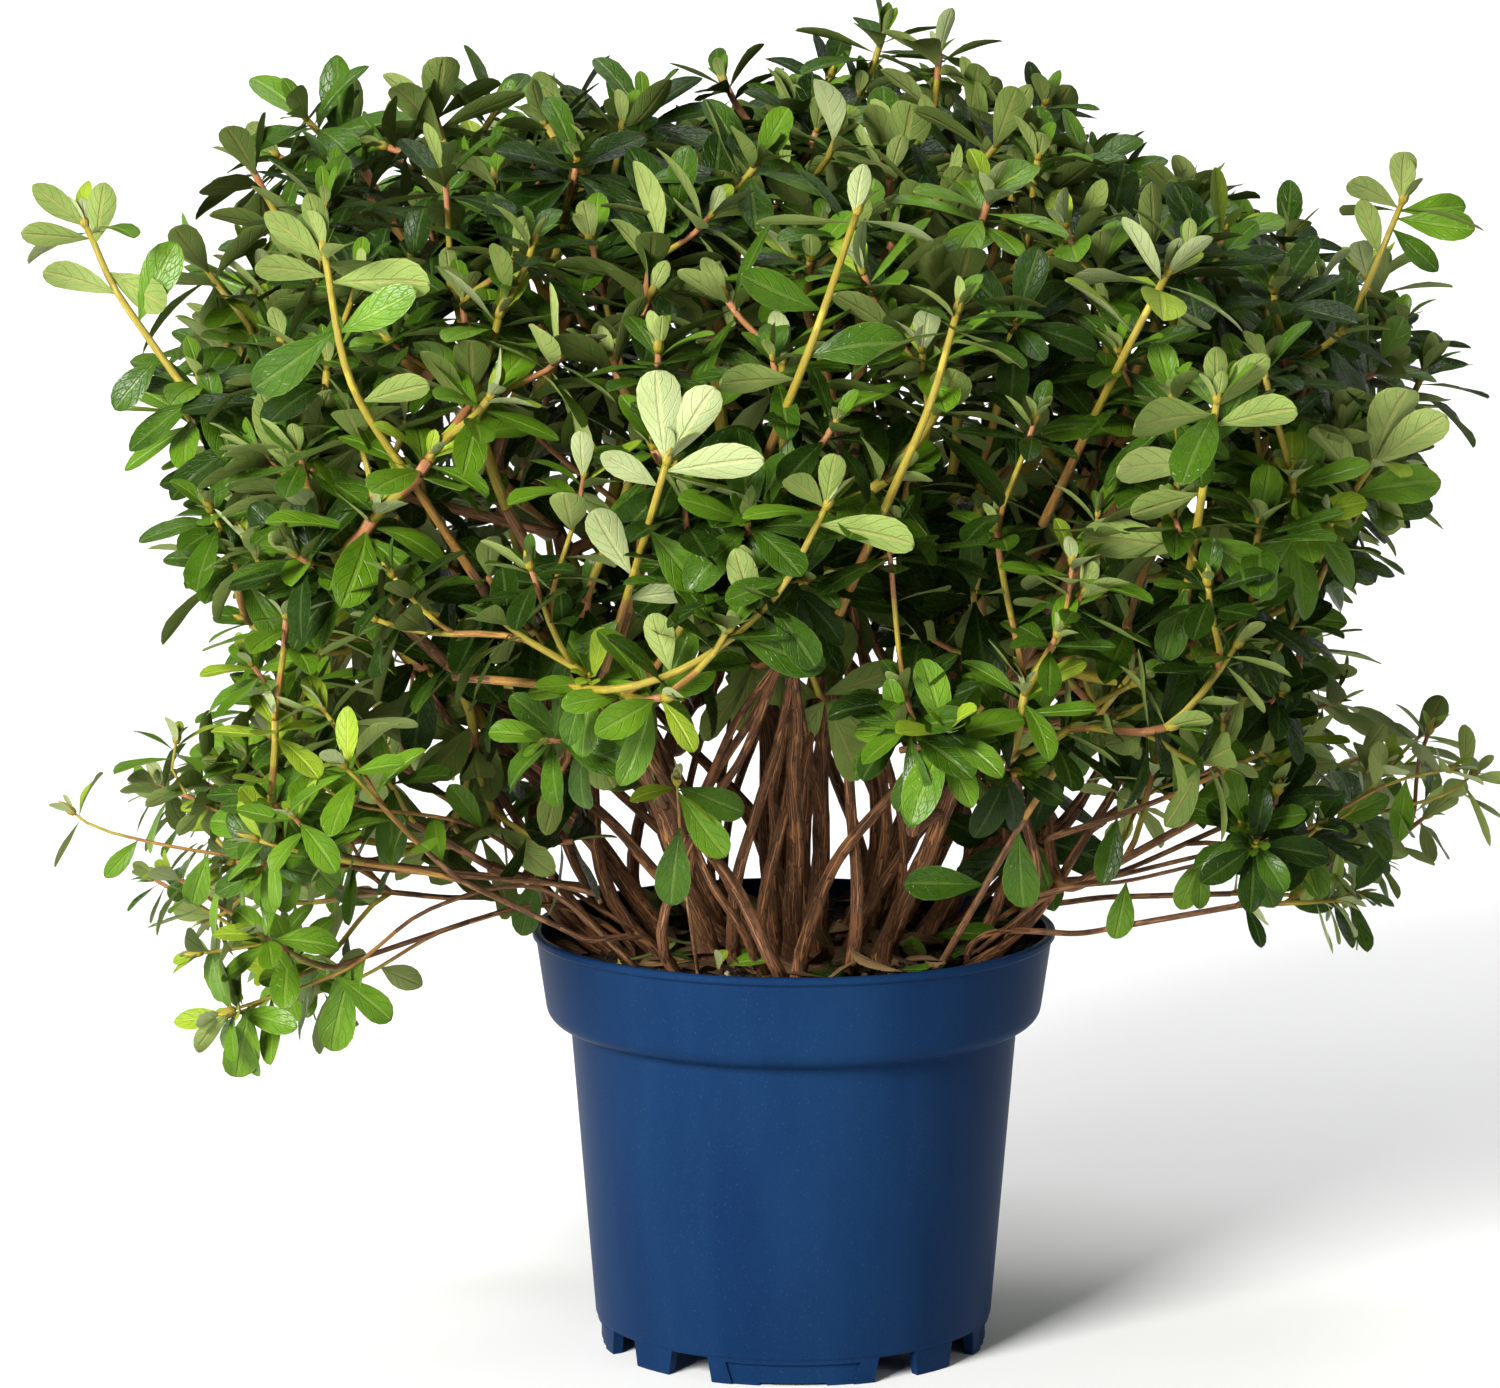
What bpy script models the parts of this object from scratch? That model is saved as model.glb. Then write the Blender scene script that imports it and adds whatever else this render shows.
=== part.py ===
"""An azalea shrub in a round nursery pot, in metres, standing on the plane Z = 0 with the pot's axis on Z.

The pot is a turned shell with a ring of feet and is filled with soil. Woody stems fan out of the soil,
boughs fork from them, and each of these limbs carries one mass of foliage: a leader with side twigs that
branch by a seeded rule and end in whorls of leaves. The masses share the crown by direction, seen from the
heart of the shrub: each one keeps to the directions that are nearest to its own axis.
"""

import math
import random

import bmesh
import bpy
from mathutils import Matrix, Vector
from mathutils.bvhtree import BVHTree

NAME = "potted_azalea"
GAP = 0.0003

# Pot
RIM_RADIUS = 0.1160
POT_HEIGHT = 0.1866
LIP_HEIGHT = 0.0035
LIP_STEP = 0.0022
COLLAR_TOP_RADIUS = 0.1141
COLLAR_FOOT_RADIUS = 0.1099
COLLAR_FOOT_HEIGHT = 0.1520
COLLAR_ROUNDING = 0.0050
BODY_TOP_RADIUS = 0.0990
BODY_TOP_HEIGHT = 0.1430
BODY_FOOT_RADIUS = 0.0885
FOOT_HEIGHT = 0.0118
FOOT_TOP_RADIUS = 0.0876
FOOT_RADIUS = 0.0870
FOOT_WIDTH = 0.0045
FOOT_STEP = 0.0020
POT_WALL = 0.0018
FLOOR_THICKNESS = 0.0020
POT_SEGMENTS = 36
NOTCH_ANGLES = [quarter + side for quarter in (0, 90, 180, 270) for side in (31.2, 58.8)]
NOTCH_MOUTH = 0.0258
NOTCH_CROWN = 0.0184
NOTCH_HEIGHT = 0.0112
NOTCH_DEPTH = 0.0180

# Soil
SOIL_LEVEL = 0.1755
SOIL_SEGMENTS = 36

# Crown: a rounded box that the leaves fill, pinched at the waist, with long shoots and hollows in its outline
HEART = Vector((0.0, 0.0, 0.165))
CROWN_HALF_WIDTH = 0.300
CROWN_HALF_DEPTH = 0.272
CROWN_MIDDLE = 0.340
CROWN_HALF_HEIGHT = 0.245
CROWN_SQUARENESS = 2.9
WAIST_ANGLE = 64.0
WAIST_SPREAD = 8.0
WAIST_PINCH = 0.08
LONG_SHOOTS = (  # azimuth, angle from the vertical, extra reach (less, at a hollow), spread
    (193.0, 46.0, 0.20, 7.0),
    (180.0, 33.0, 0.07, 10.0),
    (180.0, 8.0, 0.04, 8.0),
    (2.0, 42.0, 0.15, 9.0),
    (0.0, 33.0, -0.07, 9.0),
    (183.0, 58.0, -0.10, 8.0),
    (0.0, 66.0, -0.10, 7.0),
    (26.0, 79.0, 0.20, 12.0),
    (179.0, 78.0, 0.20, 12.0),
    (203.0, 89.0, 0.12, 9.0),
    (62.0, 12.0, 0.09, 10.0),
    (92.0, 56.0, 0.11, 12.0),
    (268.0, 56.0, 0.11, 12.0),
)

# Masses of foliage in tiers: name, angle from the vertical, azimuths, what carries them, its radius, leaf length.
# The tiers and the crown's underside ride higher at the front and back than at the sides.
DROOP_AZIMUTH = 203.0
STEM = "stem"
BOUGH = "bough"
TIERS = (
    ("top", 7.0, (60,), STEM, 0.0058, 0.086),
    ("upper", 27.0, (15, 105, 195, 285), STEM, 0.0066, 0.086),
    ("middle", 47.0, (0, 48, 92, 138, 192, 232, 270, 312), STEM, 0.0062, 0.082),
    ("lower", 67.0, (22, 66, 112, 160, 206, 248, 292, 338), BOUGH, 0.0036, 0.074),
    ("skirt", 81.0, (0, 28, 152, 179, 228, 332), STEM, 0.0042, 0.060),
    ("droop", 92.0, (DROOP_AZIMUTH,), STEM, 0.0034, 0.054),
)
TIER_LIFT = 0.25
UNDERSIDE_ANGLE = 90.0
UNDERSIDE_LIFT = 27.0
DROOP_DIP = 9.0
DROOP_SPREAD = 20.0
LIMB_TIP_RADIUS = 0.0030
FORK_ANGLE_FROM_STEM = 38.0
FORK_POINT = 3

# Feet of the stems, as a share of the way from the pot's axis to the rim
FOOT_SHARES = {"top": 0.06, "upper": 0.29, "middle": 0.50, "skirt": 0.74, "droop": 0.66}
PARENT_TIER = "middle"
FLARE = 1.35
FLARE_HEIGHT = 0.006
LIMB_POINTS = 6
LIMB_END = 0.012
LIMB_PULL = 0.36
LIMB_SIDES = 6
TAPER_POWER = 0.8
BOUGH_SHARE = 0.8
SEATINGS = 5
STEM_RISE = 0.50
ENTRY_SHARE = 0.50
SAG = 0.012
RIM_CLEARANCE = 0.013
TIP_INSET = 0.78
NEIGHBOUR_ANGLE = 75.0
BISECTIONS = 24

# Twigs and leaves
SEED = 7
TWIG_SIDES = 3
SIDE_TWIGS = 7
TWIG_RADIUS = 0.0024
TWIG_TIP_RADIUS = 0.0019
LEAF_WIDTH = 0.46
LEAF_THICKNESS = 0.030
LEAF_OUTLINE = ((0.0, 0.0), (0.60, 0.50), (0.99, 0.10), (0.99, -0.10), (0.60, -0.50))
LEAF_RIDGE = 0.22
BLADE_START = 0.10
LEAF_ROOT = 0.0006
SPIN_SHIFTS = (0.0, 16.0, -16.0)
WHORLS = (  # distance below the twig's tip, spreads to try
    (0.0024, (56.0, 44.0, 32.0)),
    (0.0150, (78.0, 66.0, 54.0)),
    (0.0360, (84.0, 68.0)),
)
WHORL_STEP = 0.0012
TWIG_TILTS = (15.0, 12.5, 10.0, 7.5, 5.0)
FIRST_TWIG = 0.08
LAST_TWIG = 0.58
TWIG_FREE = 0.18
TWIG_TURN = 0.3
SPREAD_PLAY = 4.0
LENGTH_RANGE = (0.88, 1.08)
SAMPLE_STEPS = 8
SPACE_MARGIN = 0.0008
LIMB_MARGIN = 0.0065
WELD = 0.0000001
SOLVERS = ("EXACT", "MANIFOLD")
POT_MARGIN = 0.006


def principled(name, color, roughness):
    material = bpy.data.materials.new(name)
    material.use_nodes = True
    shader = material.node_tree.nodes["Principled BSDF"]
    shader.inputs["Base Color"].default_value = (*color, 1.0)
    shader.inputs["Roughness"].default_value = roughness
    shader.inputs["Metallic"].default_value = 0.0
    material.diffuse_color = (*color, 1.0)
    return material


def new_collection(name):
    made = bpy.data.collections.new(name)
    bpy.context.scene.collection.children.link(made)
    return made


def new_object(name, data, collection):
    made = bpy.data.objects.new(name, data)
    collection.objects.link(made)
    return made


def polar(azimuth, angle):
    """The unit vector at this azimuth and this angle from the vertical, in degrees."""
    turn = math.radians(azimuth)
    tilt = math.radians(angle)
    return Vector((math.sin(tilt) * math.cos(turn), math.sin(tilt) * math.sin(turn), math.cos(tilt)))


# ---------------------------------------------------------------- pot and soil


def turned(name, profile, segments, material, collection):
    """A solid of revolution from a closed profile of (radius, height) at +X, left open along the axis."""
    mesh = bpy.data.meshes.new(name)
    ends = [(i, (i + 1) % len(profile)) for i in range(len(profile))]
    edges = [(i, k) for i, k in ends if profile[i][0] > 0 or profile[k][0] > 0]
    mesh.from_pydata([(radius, 0.0, height) for radius, height in profile], edges, [])
    mesh.materials.append(material)
    made = new_object(name, mesh, collection)
    screw = made.modifiers.new("turn", "SCREW")
    screw.steps = segments
    screw.render_steps = segments
    screw.use_merge_vertices = True
    screw.merge_threshold = 0.00001
    screw.use_smooth_shade = True
    return made


def inner_radius(height):
    """The radius of the pot's inner face at this height."""
    if height >= COLLAR_FOOT_HEIGHT:
        share = (height - COLLAR_FOOT_HEIGHT) / (POT_HEIGHT - COLLAR_FOOT_HEIGHT)
        return COLLAR_FOOT_RADIUS + share * (COLLAR_TOP_RADIUS - COLLAR_FOOT_RADIUS) - POT_WALL
    share = (height - FOOT_HEIGHT) / (BODY_TOP_HEIGHT - FOOT_HEIGHT)
    return BODY_FOOT_RADIUS + min(share, 1.0) * (BODY_TOP_RADIUS - BODY_FOOT_RADIUS) - POT_WALL


def make_pot(material, collection, cutters):
    """The turned shell, its outer side first, with notches cut through the foot ring."""
    floor_top = FOOT_HEIGHT + FLOOR_THICKNESS
    profile = [
        (RIM_RADIUS - LIP_HEIGHT / 3, POT_HEIGHT),
        (RIM_RADIUS, POT_HEIGHT - LIP_HEIGHT / 3),
        (RIM_RADIUS, POT_HEIGHT - LIP_HEIGHT),
        (COLLAR_TOP_RADIUS, POT_HEIGHT - LIP_HEIGHT - LIP_STEP / 2),
        (COLLAR_FOOT_RADIUS, COLLAR_FOOT_HEIGHT),
        ((COLLAR_FOOT_RADIUS * 2 + BODY_TOP_RADIUS) / 3, COLLAR_FOOT_HEIGHT - COLLAR_ROUNDING),
        (BODY_TOP_RADIUS, BODY_TOP_HEIGHT),
        (BODY_FOOT_RADIUS, FOOT_HEIGHT + FOOT_STEP / 2),
        (FOOT_TOP_RADIUS, FOOT_HEIGHT - FOOT_STEP / 2),
        (FOOT_RADIUS, 0.0),
        (FOOT_RADIUS - FOOT_WIDTH, 0.0),
        (FOOT_RADIUS - FOOT_WIDTH, FOOT_HEIGHT),
        (0.0, FOOT_HEIGHT),
        (0.0, floor_top),
        (inner_radius(floor_top), floor_top),
        (inner_radius(BODY_TOP_HEIGHT), BODY_TOP_HEIGHT),
        (inner_radius(COLLAR_FOOT_HEIGHT), COLLAR_FOOT_HEIGHT),
        (inner_radius(POT_HEIGHT), POT_HEIGHT),
    ]
    pot = turned("pot", profile, POT_SEGMENTS, material, collection)
    for number, azimuth in enumerate(NOTCH_ANGLES):
        cutter = make_notch_cutter(f"notch_{number + 1}", azimuth, cutters)
        cut = pot.modifiers.new(cutter.name, "BOOLEAN")
        cut.operation = "DIFFERENCE"
        cut.object = cutter


def make_notch_cutter(name, azimuth, cutters):
    """A bar across the foot ring, wider at the floor than at its crown, that cuts the gap between two feet."""
    shape = bmesh.new()
    bmesh.ops.create_cube(shape, size=1.0)
    for vertex in shape.verts:
        high = vertex.co.z > 0
        width = NOTCH_CROWN if high else NOTCH_MOUTH
        vertex.co.x = FOOT_RADIUS + vertex.co.x * NOTCH_DEPTH
        vertex.co.y = vertex.co.y * width
        vertex.co.z = NOTCH_HEIGHT if high else -NOTCH_HEIGHT
    shape.transform(Matrix.Rotation(math.radians(azimuth), 4, "Z"))
    mesh = bpy.data.meshes.new(name)
    shape.to_mesh(mesh)
    shape.free()
    cutter = new_object(name, mesh, cutters)
    cutter.hide_render = True
    cutter.display_type = "WIRE"
    return cutter


def make_soil(material, collection):
    bottom = FOOT_HEIGHT + FLOOR_THICKNESS + GAP
    profile = [
        (0.0, SOIL_LEVEL),
        (inner_radius(SOIL_LEVEL) - 2 * GAP, SOIL_LEVEL),
        (inner_radius(COLLAR_FOOT_HEIGHT) - 2 * GAP, COLLAR_FOOT_HEIGHT),
        (inner_radius(BODY_TOP_HEIGHT) - 2 * GAP, BODY_TOP_HEIGHT),
        (inner_radius(bottom) - 2 * GAP, bottom),
        (0.0, bottom),
    ]
    return turned("soil", profile, SOIL_SEGMENTS, material, collection)


# ---------------------------------------------------------------- the crown's space


def crown_reach(direction):
    """How far the crown reaches from the heart in this direction."""
    low, high = 0.0, 1.0
    for _ in range(BISECTIONS):
        middle = (low + high) / 2
        point = HEART + direction * middle
        inside = (
            abs(point.x / CROWN_HALF_WIDTH) ** CROWN_SQUARENESS
            + abs(point.y / CROWN_HALF_DEPTH) ** CROWN_SQUARENESS
            + abs((point.z - CROWN_MIDDLE) / CROWN_HALF_HEIGHT) ** CROWN_SQUARENESS
        ) < 1.0
        low, high = (middle, high) if inside else (low, middle)
    angle = math.degrees(math.acos(max(-1.0, min(1.0, direction.z))))
    pinch = WAIST_PINCH * math.exp(-(((angle - WAIST_ANGLE) / WAIST_SPREAD) ** 2))
    extra = 0.0
    for azimuth, shoot_angle, length, spread in LONG_SHOOTS:
        away = math.degrees(direction.angle(polar(azimuth, shoot_angle)))
        extra += length * math.exp(-((away / spread) ** 2))
    return low * (1.0 - pinch + extra)


class Mass:
    """One mass of foliage: its name, its axis from the heart, and where its limb enters it."""

    def __init__(self, tier, number, azimuth, angle, carrier, thickness, leaf_length):
        self.tier = tier
        self.leaf_length = leaf_length
        self.name = f"foliage_{tier}_{number}"
        self.axis = polar(azimuth, angle)
        self.reach = crown_reach(self.axis)
        self.carrier = carrier
        self.thickness = thickness
        self.tip = HEART + self.axis * (self.reach - TIP_INSET * leaf_length)
        self.entry = HEART + self.axis * self.reach * ENTRY_SHARE + Vector((0, 0, -SAG))
        self.entry.z = max(self.entry.z, POT_HEIGHT + RIM_CLEARANCE)
        self.heading = (self.tip - self.entry).normalized()
        self.neighbours = []


def lay_out_masses():
    masses = []
    for tier, angle, azimuths, carrier, thickness, leaf_length in TIERS:
        for number, azimuth in enumerate(azimuths):
            lift = 1.0 - TIER_LIFT * math.sin(math.radians(azimuth)) ** 2
            masses.append(Mass(tier, number + 1, azimuth, angle * lift, carrier, thickness, leaf_length))
    for mass in masses:
        for other in masses:
            if other is not mass and mass.axis.angle(other.axis) < math.radians(NEIGHBOUR_ANGLE):
                mass.neighbours.append((mass.axis - other.axis).normalized())
    return masses


def in_own_space(mass, point, margin):
    """Whether the point lies inside the crown, nearer to this mass's axis than to any other's, and off the pot."""
    arm = point - HEART
    if any(arm.dot(normal) < margin for normal in mass.neighbours):
        return False
    aside = math.hypot(point.x, point.y)
    if point.z < POT_HEIGHT + POT_MARGIN and aside < RIM_RADIUS + POT_MARGIN:
        return False
    out = Vector((point.x, point.y, 0))
    off_droop = math.degrees(out.angle(polar(DROOP_AZIMUTH, 90), math.pi))
    underside = UNDERSIDE_ANGLE - UNDERSIDE_LIFT * (point.y / max(aside, GAP)) ** 2
    underside += DROOP_DIP * math.exp(-((off_droop / DROOP_SPREAD) ** 2))
    if math.degrees(math.atan2(aside, arm.z)) > underside:
        return False
    return arm.length <= crown_reach(arm.normalized())


def clear_of_limbs(point, limbs, margin):
    for points, radii in limbs:
        for start, end, radius in zip(points, points[1:], radii):
            along = end - start
            share = max(0.0, min(1.0, (point - start).dot(along) / along.length_squared))
            if (start + along * share - point).length < radius + margin:
                return False
    return True


# ---------------------------------------------------------------- limbs


def bezier(start, start_pull, end_pull, end, share):
    rest = 1.0 - share
    return (
        start * rest**3
        + start_pull * 3 * rest**2 * share
        + end_pull * 3 * rest * share**2
        + end * share**3
    )


def limb_path(start, start_heading, mass):
    """A smooth line to the mass's entry, the last bit of it straight."""
    end = mass.entry - mass.heading * LIMB_END
    pull = (end - start).length * LIMB_PULL
    handles = (start + start_heading * pull, end - mass.heading * pull)
    steps = LIMB_POINTS - 2
    return [bezier(start, *handles, end, step / steps) for step in range(steps + 1)] + [mass.entry]


def taper(thick, thin, count):
    return [thick + (thin - thick) * (step / (count - 1)) ** TAPER_POWER for step in range(count)]


def stem_path(mass):
    """The centre line of a stem, from its flat foot on the soil to the mass that it carries."""
    out = Vector((mass.axis.x, mass.axis.y, 0)).normalized()
    foot = out * RIM_RADIUS * FOOT_SHARES[mass.tier] + Vector((0, 0, SOIL_LEVEL + GAP))
    lean = (mass.axis + Vector((0, 0, STEM_RISE))).normalized()
    above = foot + Vector((0, 0, FLARE_HEIGHT))
    points = [foot] + limb_path(above, lean, mass)
    radii = [mass.thickness * FLARE] + taper(mass.thickness, LIMB_TIP_RADIUS, LIMB_POINTS)
    return points, radii


def bough_path(mass, stem, slack):
    """The centre line of a bough that forks from a stem, its foot slid back towards the stem by the slack."""
    points, radii = stem
    fork = points[FORK_POINT]
    along = (points[FORK_POINT + 1] - fork).normalized()
    aim = (mass.entry - fork).normalized()
    side = (aim - along * aim.dot(along)).normalized()
    angle = math.radians(FORK_ANGLE_FROM_STEM)
    leave = along * math.cos(angle) + side * math.sin(angle)
    thickness = min(mass.thickness, radii[FORK_POINT] * BOUGH_SHARE)
    clear = (radii[FORK_POINT] + GAP + thickness * math.cos(angle)) / math.sin(angle)
    foot = fork + leave * (clear - slack)
    return limb_path(foot, leave, mass), taper(thickness, LIMB_TIP_RADIUS, LIMB_POINTS)


def make_limb(name, points, radii, material, collection):
    """A tapering limb: a bevelled curve made a mesh, with its caps welded on."""
    curve = bpy.data.curves.new(name, "CURVE")
    curve.dimensions = "3D"
    curve.bevel_depth = 1.0
    curve.bevel_resolution = (LIMB_SIDES - 4) // 2
    curve.use_fill_caps = True
    spline = curve.splines.new("POLY")
    spline.points.add(len(points) - 1)
    for place, point, radius in zip(spline.points, points, radii):
        place.co = (*point, 1.0)
        place.radius = radius
    guide = new_object(name + "_line", curve, collection)
    bpy.context.view_layer.update()
    evaluated = guide.evaluated_get(bpy.context.evaluated_depsgraph_get())
    mesh = bpy.data.meshes.new_from_object(evaluated)
    bpy.data.objects.remove(guide)
    shape = bmesh.new()
    shape.from_mesh(mesh)
    bmesh.ops.remove_doubles(shape, verts=shape.verts, dist=0.00001)
    shape.to_mesh(mesh)
    shape.free()
    mesh.materials.clear()
    mesh.materials.append(material)
    mesh.shade_smooth()
    mesh.set_sharp_from_angle(angle=math.radians(50))
    return new_object(name, mesh, collection)


def space_between(limb, other):
    """The least distance from the edges of one limb to the surface of another."""
    faces = [tuple(face.vertices) for face in other.data.polygons]
    surface = BVHTree.FromPolygons([vertex.co for vertex in other.data.vertices], faces)
    ends = [[limb.data.vertices[end].co for end in edge.vertices] for edge in limb.data.edges]
    steps = range(SAMPLE_STEPS)
    samples = [start.lerp(end, step / SAMPLE_STEPS) for start, end in ends for step in steps]
    return min(surface.find_nearest(sample)[3] for sample in samples)


def seat_bough(mass, stem, wood, material, collection):
    """A bough slid back along its own heading until only the gap is left between it and the stem's wood."""
    slack = 0.0
    for _ in range(SEATINGS):
        points, radii = bough_path(mass, stem, slack)
        bough = make_limb(mass.name.replace("foliage", BOUGH), points, radii, material, collection)
        slack += space_between(bough, wood) - GAP
        bpy.data.objects.remove(bough)
    points, radii = bough_path(mass, stem, slack)
    make_limb(mass.name.replace("foliage", BOUGH), points, radii, material, collection)
    return points, radii


# ---------------------------------------------------------------- foliage


def leaf_mesh():
    """A flattened five-sided cone of unit length: a flat underside and a ridge that falls to the outline."""
    shape = bmesh.new()
    sides = len(LEAF_OUTLINE)
    bmesh.ops.create_cone(shape, cap_ends=True, segments=sides, radius1=1.0, radius2=0.0, depth=1.0)
    ring = sorted(
        (vertex for vertex in shape.verts if vertex.co.z < 0),
        key=lambda vertex: math.atan2(vertex.co.y, vertex.co.x),
    )
    peak = next(vertex for vertex in shape.verts if vertex.co.z > 0)
    for vertex, (along, across) in zip(ring, reversed(LEAF_OUTLINE)):
        vertex.co = (along, across * LEAF_WIDTH, 0.0)
    peak.co = (LEAF_RIDGE, 0.0, LEAF_THICKNESS)
    mesh = bpy.data.meshes.new("leaf")
    shape.to_mesh(mesh)
    shape.free()
    return mesh


def leaf_samples():
    """Points spread over the unit leaf, for testing where a leaf would reach."""
    samples = []
    widest, half_width = LEAF_OUTLINE[1]
    end, half_tip = LEAF_OUTLINE[2]
    for step in range(SAMPLE_STEPS + 1):
        along = step / SAMPLE_STEPS
        if along < widest:
            half = half_width * along / widest
        else:
            half = half_width + (half_tip - half_width) * (along - widest) / (end - widest)
        for side in (-1.0, 0.0, 1.0):
            samples.append(Vector((along, side * half * LEAF_WIDTH, 0.0)))
    return samples


def blade_tree(place):
    """The leaf's blade beyond its stalk, as a flat sheet for testing whether it would cross something."""
    outline = [(BLADE_START, -BLADE_START), *LEAF_OUTLINE[:0:-1], (BLADE_START, BLADE_START)]
    corners = [place @ Vector((along, across * LEAF_WIDTH, LEAF_THICKNESS / 4)) for along, across in outline]
    return BVHTree.FromPolygons(corners, [(0, 1, 4), (0, 4, 5), (1, 2, 3, 4)])


def twig_tree(start, end):
    """The twig as a three-sided tube, for the same test."""
    turn = (end - start).to_track_quat("Z", "Y")
    step = 360 / TWIG_SIDES
    ring = [turn @ (polar((number - 0.25) * step, 90) * TWIG_RADIUS) for number in range(TWIG_SIDES)]
    corners = [start + spoke for spoke in ring] + [end + spoke for spoke in ring]
    return BVHTree.FromPolygons(corners, [(0, 1, 4, 3), (1, 2, 5, 4), (2, 0, 3, 5)])


class Spray:
    """The twigs and leaves of one mass while it grows."""

    def __init__(self, mass, limbs, seed):
        self.mass = mass
        self.limbs = limbs
        self.draw = random.Random(seed)
        self.twigs = []
        self.leaves = []
        self.grown = []

    def twig_fits(self, start, end):
        for step in range(1, SAMPLE_STEPS + 1):
            point = start.lerp(end, step / SAMPLE_STEPS)
            if not in_own_space(self.mass, point, SPACE_MARGIN + TWIG_RADIUS):
                return False
            if not clear_of_limbs(point, self.limbs, LIMB_MARGIN):
                return False
        return True

    def fit_leaf(self, foot, heading, out, spreads, length, samples, near):
        """The place of a leaf on this side of a twig, at the first spread from it where the leaf has room."""
        for shift in SPIN_SHIFTS:
            side = Matrix.Rotation(math.radians(shift), 3, heading) @ out
            for spread in spreads:
                angle = math.radians(spread + self.draw.uniform(-SPREAD_PLAY, SPREAD_PLAY))
                along = heading * math.cos(angle) + side * math.sin(angle)
                top = (heading - along * heading.dot(along)).normalized()
                turn = Matrix((along, top.cross(along), top)).transposed().to_4x4()
                place = Matrix.Translation(foot - along * LEAF_ROOT) @ turn @ Matrix.Scale(length, 4)
                points = [place @ sample for sample in samples]
                if not all(in_own_space(self.mass, point, SPACE_MARGIN) for point in points):
                    continue
                if not all(clear_of_limbs(point, self.limbs, LIMB_MARGIN) for point in points):
                    continue
                blade = blade_tree(place)
                if not any(blade.overlap(other) for other in self.grown + near):
                    near.append(blade)
                    return place
        return None

    def leaves_on(self, start, tip, whorls, samples):
        """The leaves that a twig has room for: whorls of three, one leaf to each of the twig's sides."""
        heading = (tip - start).normalized()
        turn = heading.to_track_quat("Z", "Y")
        found = []
        near = [twig_tree(start, tip)]
        for below, spreads in whorls:
            for number in range(TWIG_SIDES):
                out = turn @ Vector(polar(-90 + number * 360 / TWIG_SIDES, 90))
                foot = tip - heading * (below + WHORL_STEP * number)
                length = self.mass.leaf_length * self.draw.uniform(*LENGTH_RANGE)
                place = self.fit_leaf(foot, heading, out, spreads, length, samples, near)
                if place is not None:
                    found.append(place)
        return found, near

    def grow(self, samples):
        mass = self.mass
        base = mass.entry + mass.heading * GAP
        self.twigs.append((base, mass.tip, LIMB_TIP_RADIUS, TWIG_TIP_RADIUS))
        self.leaves, self.grown = self.leaves_on(base, mass.tip, WHORLS, samples)
        across = mass.heading.orthogonal().normalized()
        spin = self.draw.uniform(0, 2 * math.pi)
        for number in range(SIDE_TWIGS):
            spin += 2 * math.pi / SIDE_TWIGS + self.draw.uniform(-TWIG_TURN, TWIG_TURN)
            out = Matrix.Rotation(spin, 3, mass.heading) @ across
            share = FIRST_TWIG + (LAST_TWIG - FIRST_TWIG) * number / (SIDE_TWIGS - 1)
            start = base.lerp(mass.tip, share)
            best = []
            for tilt in TWIG_TILTS:
                angle = math.radians(tilt)
                aim = mass.axis * math.cos(angle) + out * math.sin(angle)
                tip = HEART + aim * (crown_reach(aim) - TIP_INSET * mass.leaf_length)
                free = start.lerp(tip, TWIG_FREE)
                if not self.twig_fits(free, tip):
                    continue
                if any(twig_tree(free, tip).overlap(other) for other in self.grown):
                    continue
                found, near = self.leaves_on(start, tip, WHORLS, samples)
                if len(found) > len(best):
                    best = found
                    chosen = (start, tip, TWIG_RADIUS, TWIG_TIP_RADIUS)
                    beside = near
            if best:
                self.twigs.append(chosen)
                self.leaves += best
                self.grown += beside


def make_twig(name, start, end, thick, thin, collection):
    axis = end - start
    shape = bmesh.new()
    bmesh.ops.create_cone(
        shape, cap_ends=True, segments=TWIG_SIDES, radius1=thick, radius2=thin, depth=axis.length
    )
    turn = axis.to_track_quat("Z", "Y").to_matrix().to_4x4()
    shape.transform(Matrix.Translation((start + end) / 2) @ turn)
    mesh = bpy.data.meshes.new(name)
    shape.to_mesh(mesh)
    shape.free()
    return new_object(name, mesh, collection)


def largest_piece(mesh):
    """Keeps the outer skin of the largest piece, with no sealed hollows or scraps, and says if it is closed."""
    shape = bmesh.new()
    shape.from_mesh(mesh)
    bmesh.ops.remove_doubles(shape, verts=shape.verts, dist=WELD)
    left = set(shape.faces)
    pieces = []
    while left:
        seeds = [left.pop()]
        piece = set(seeds)
        while seeds:
            face = seeds.pop()
            for edge in face.edges:
                for other in edge.link_faces:
                    if other in left:
                        left.discard(other)
                        piece.add(other)
                        seeds.append(other)
        pieces.append(piece)

    def volume(piece):
        total = 0.0
        for face in piece:
            corners = [vertex.co for vertex in face.verts]
            for second, third in zip(corners[1:], corners[2:]):
                total += corners[0].dot(second.cross(third)) / 6
        return total

    pieces.sort(key=volume, reverse=True)
    spare = [face for piece in pieces[1:] for face in piece]
    bmesh.ops.delete(shape, geom=spare, context="FACES")
    bmesh.ops.triangulate(shape, faces=shape.faces)
    closed = all(edge.is_manifold for edge in shape.edges)
    shape.to_mesh(mesh)
    shape.free()
    return closed


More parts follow.
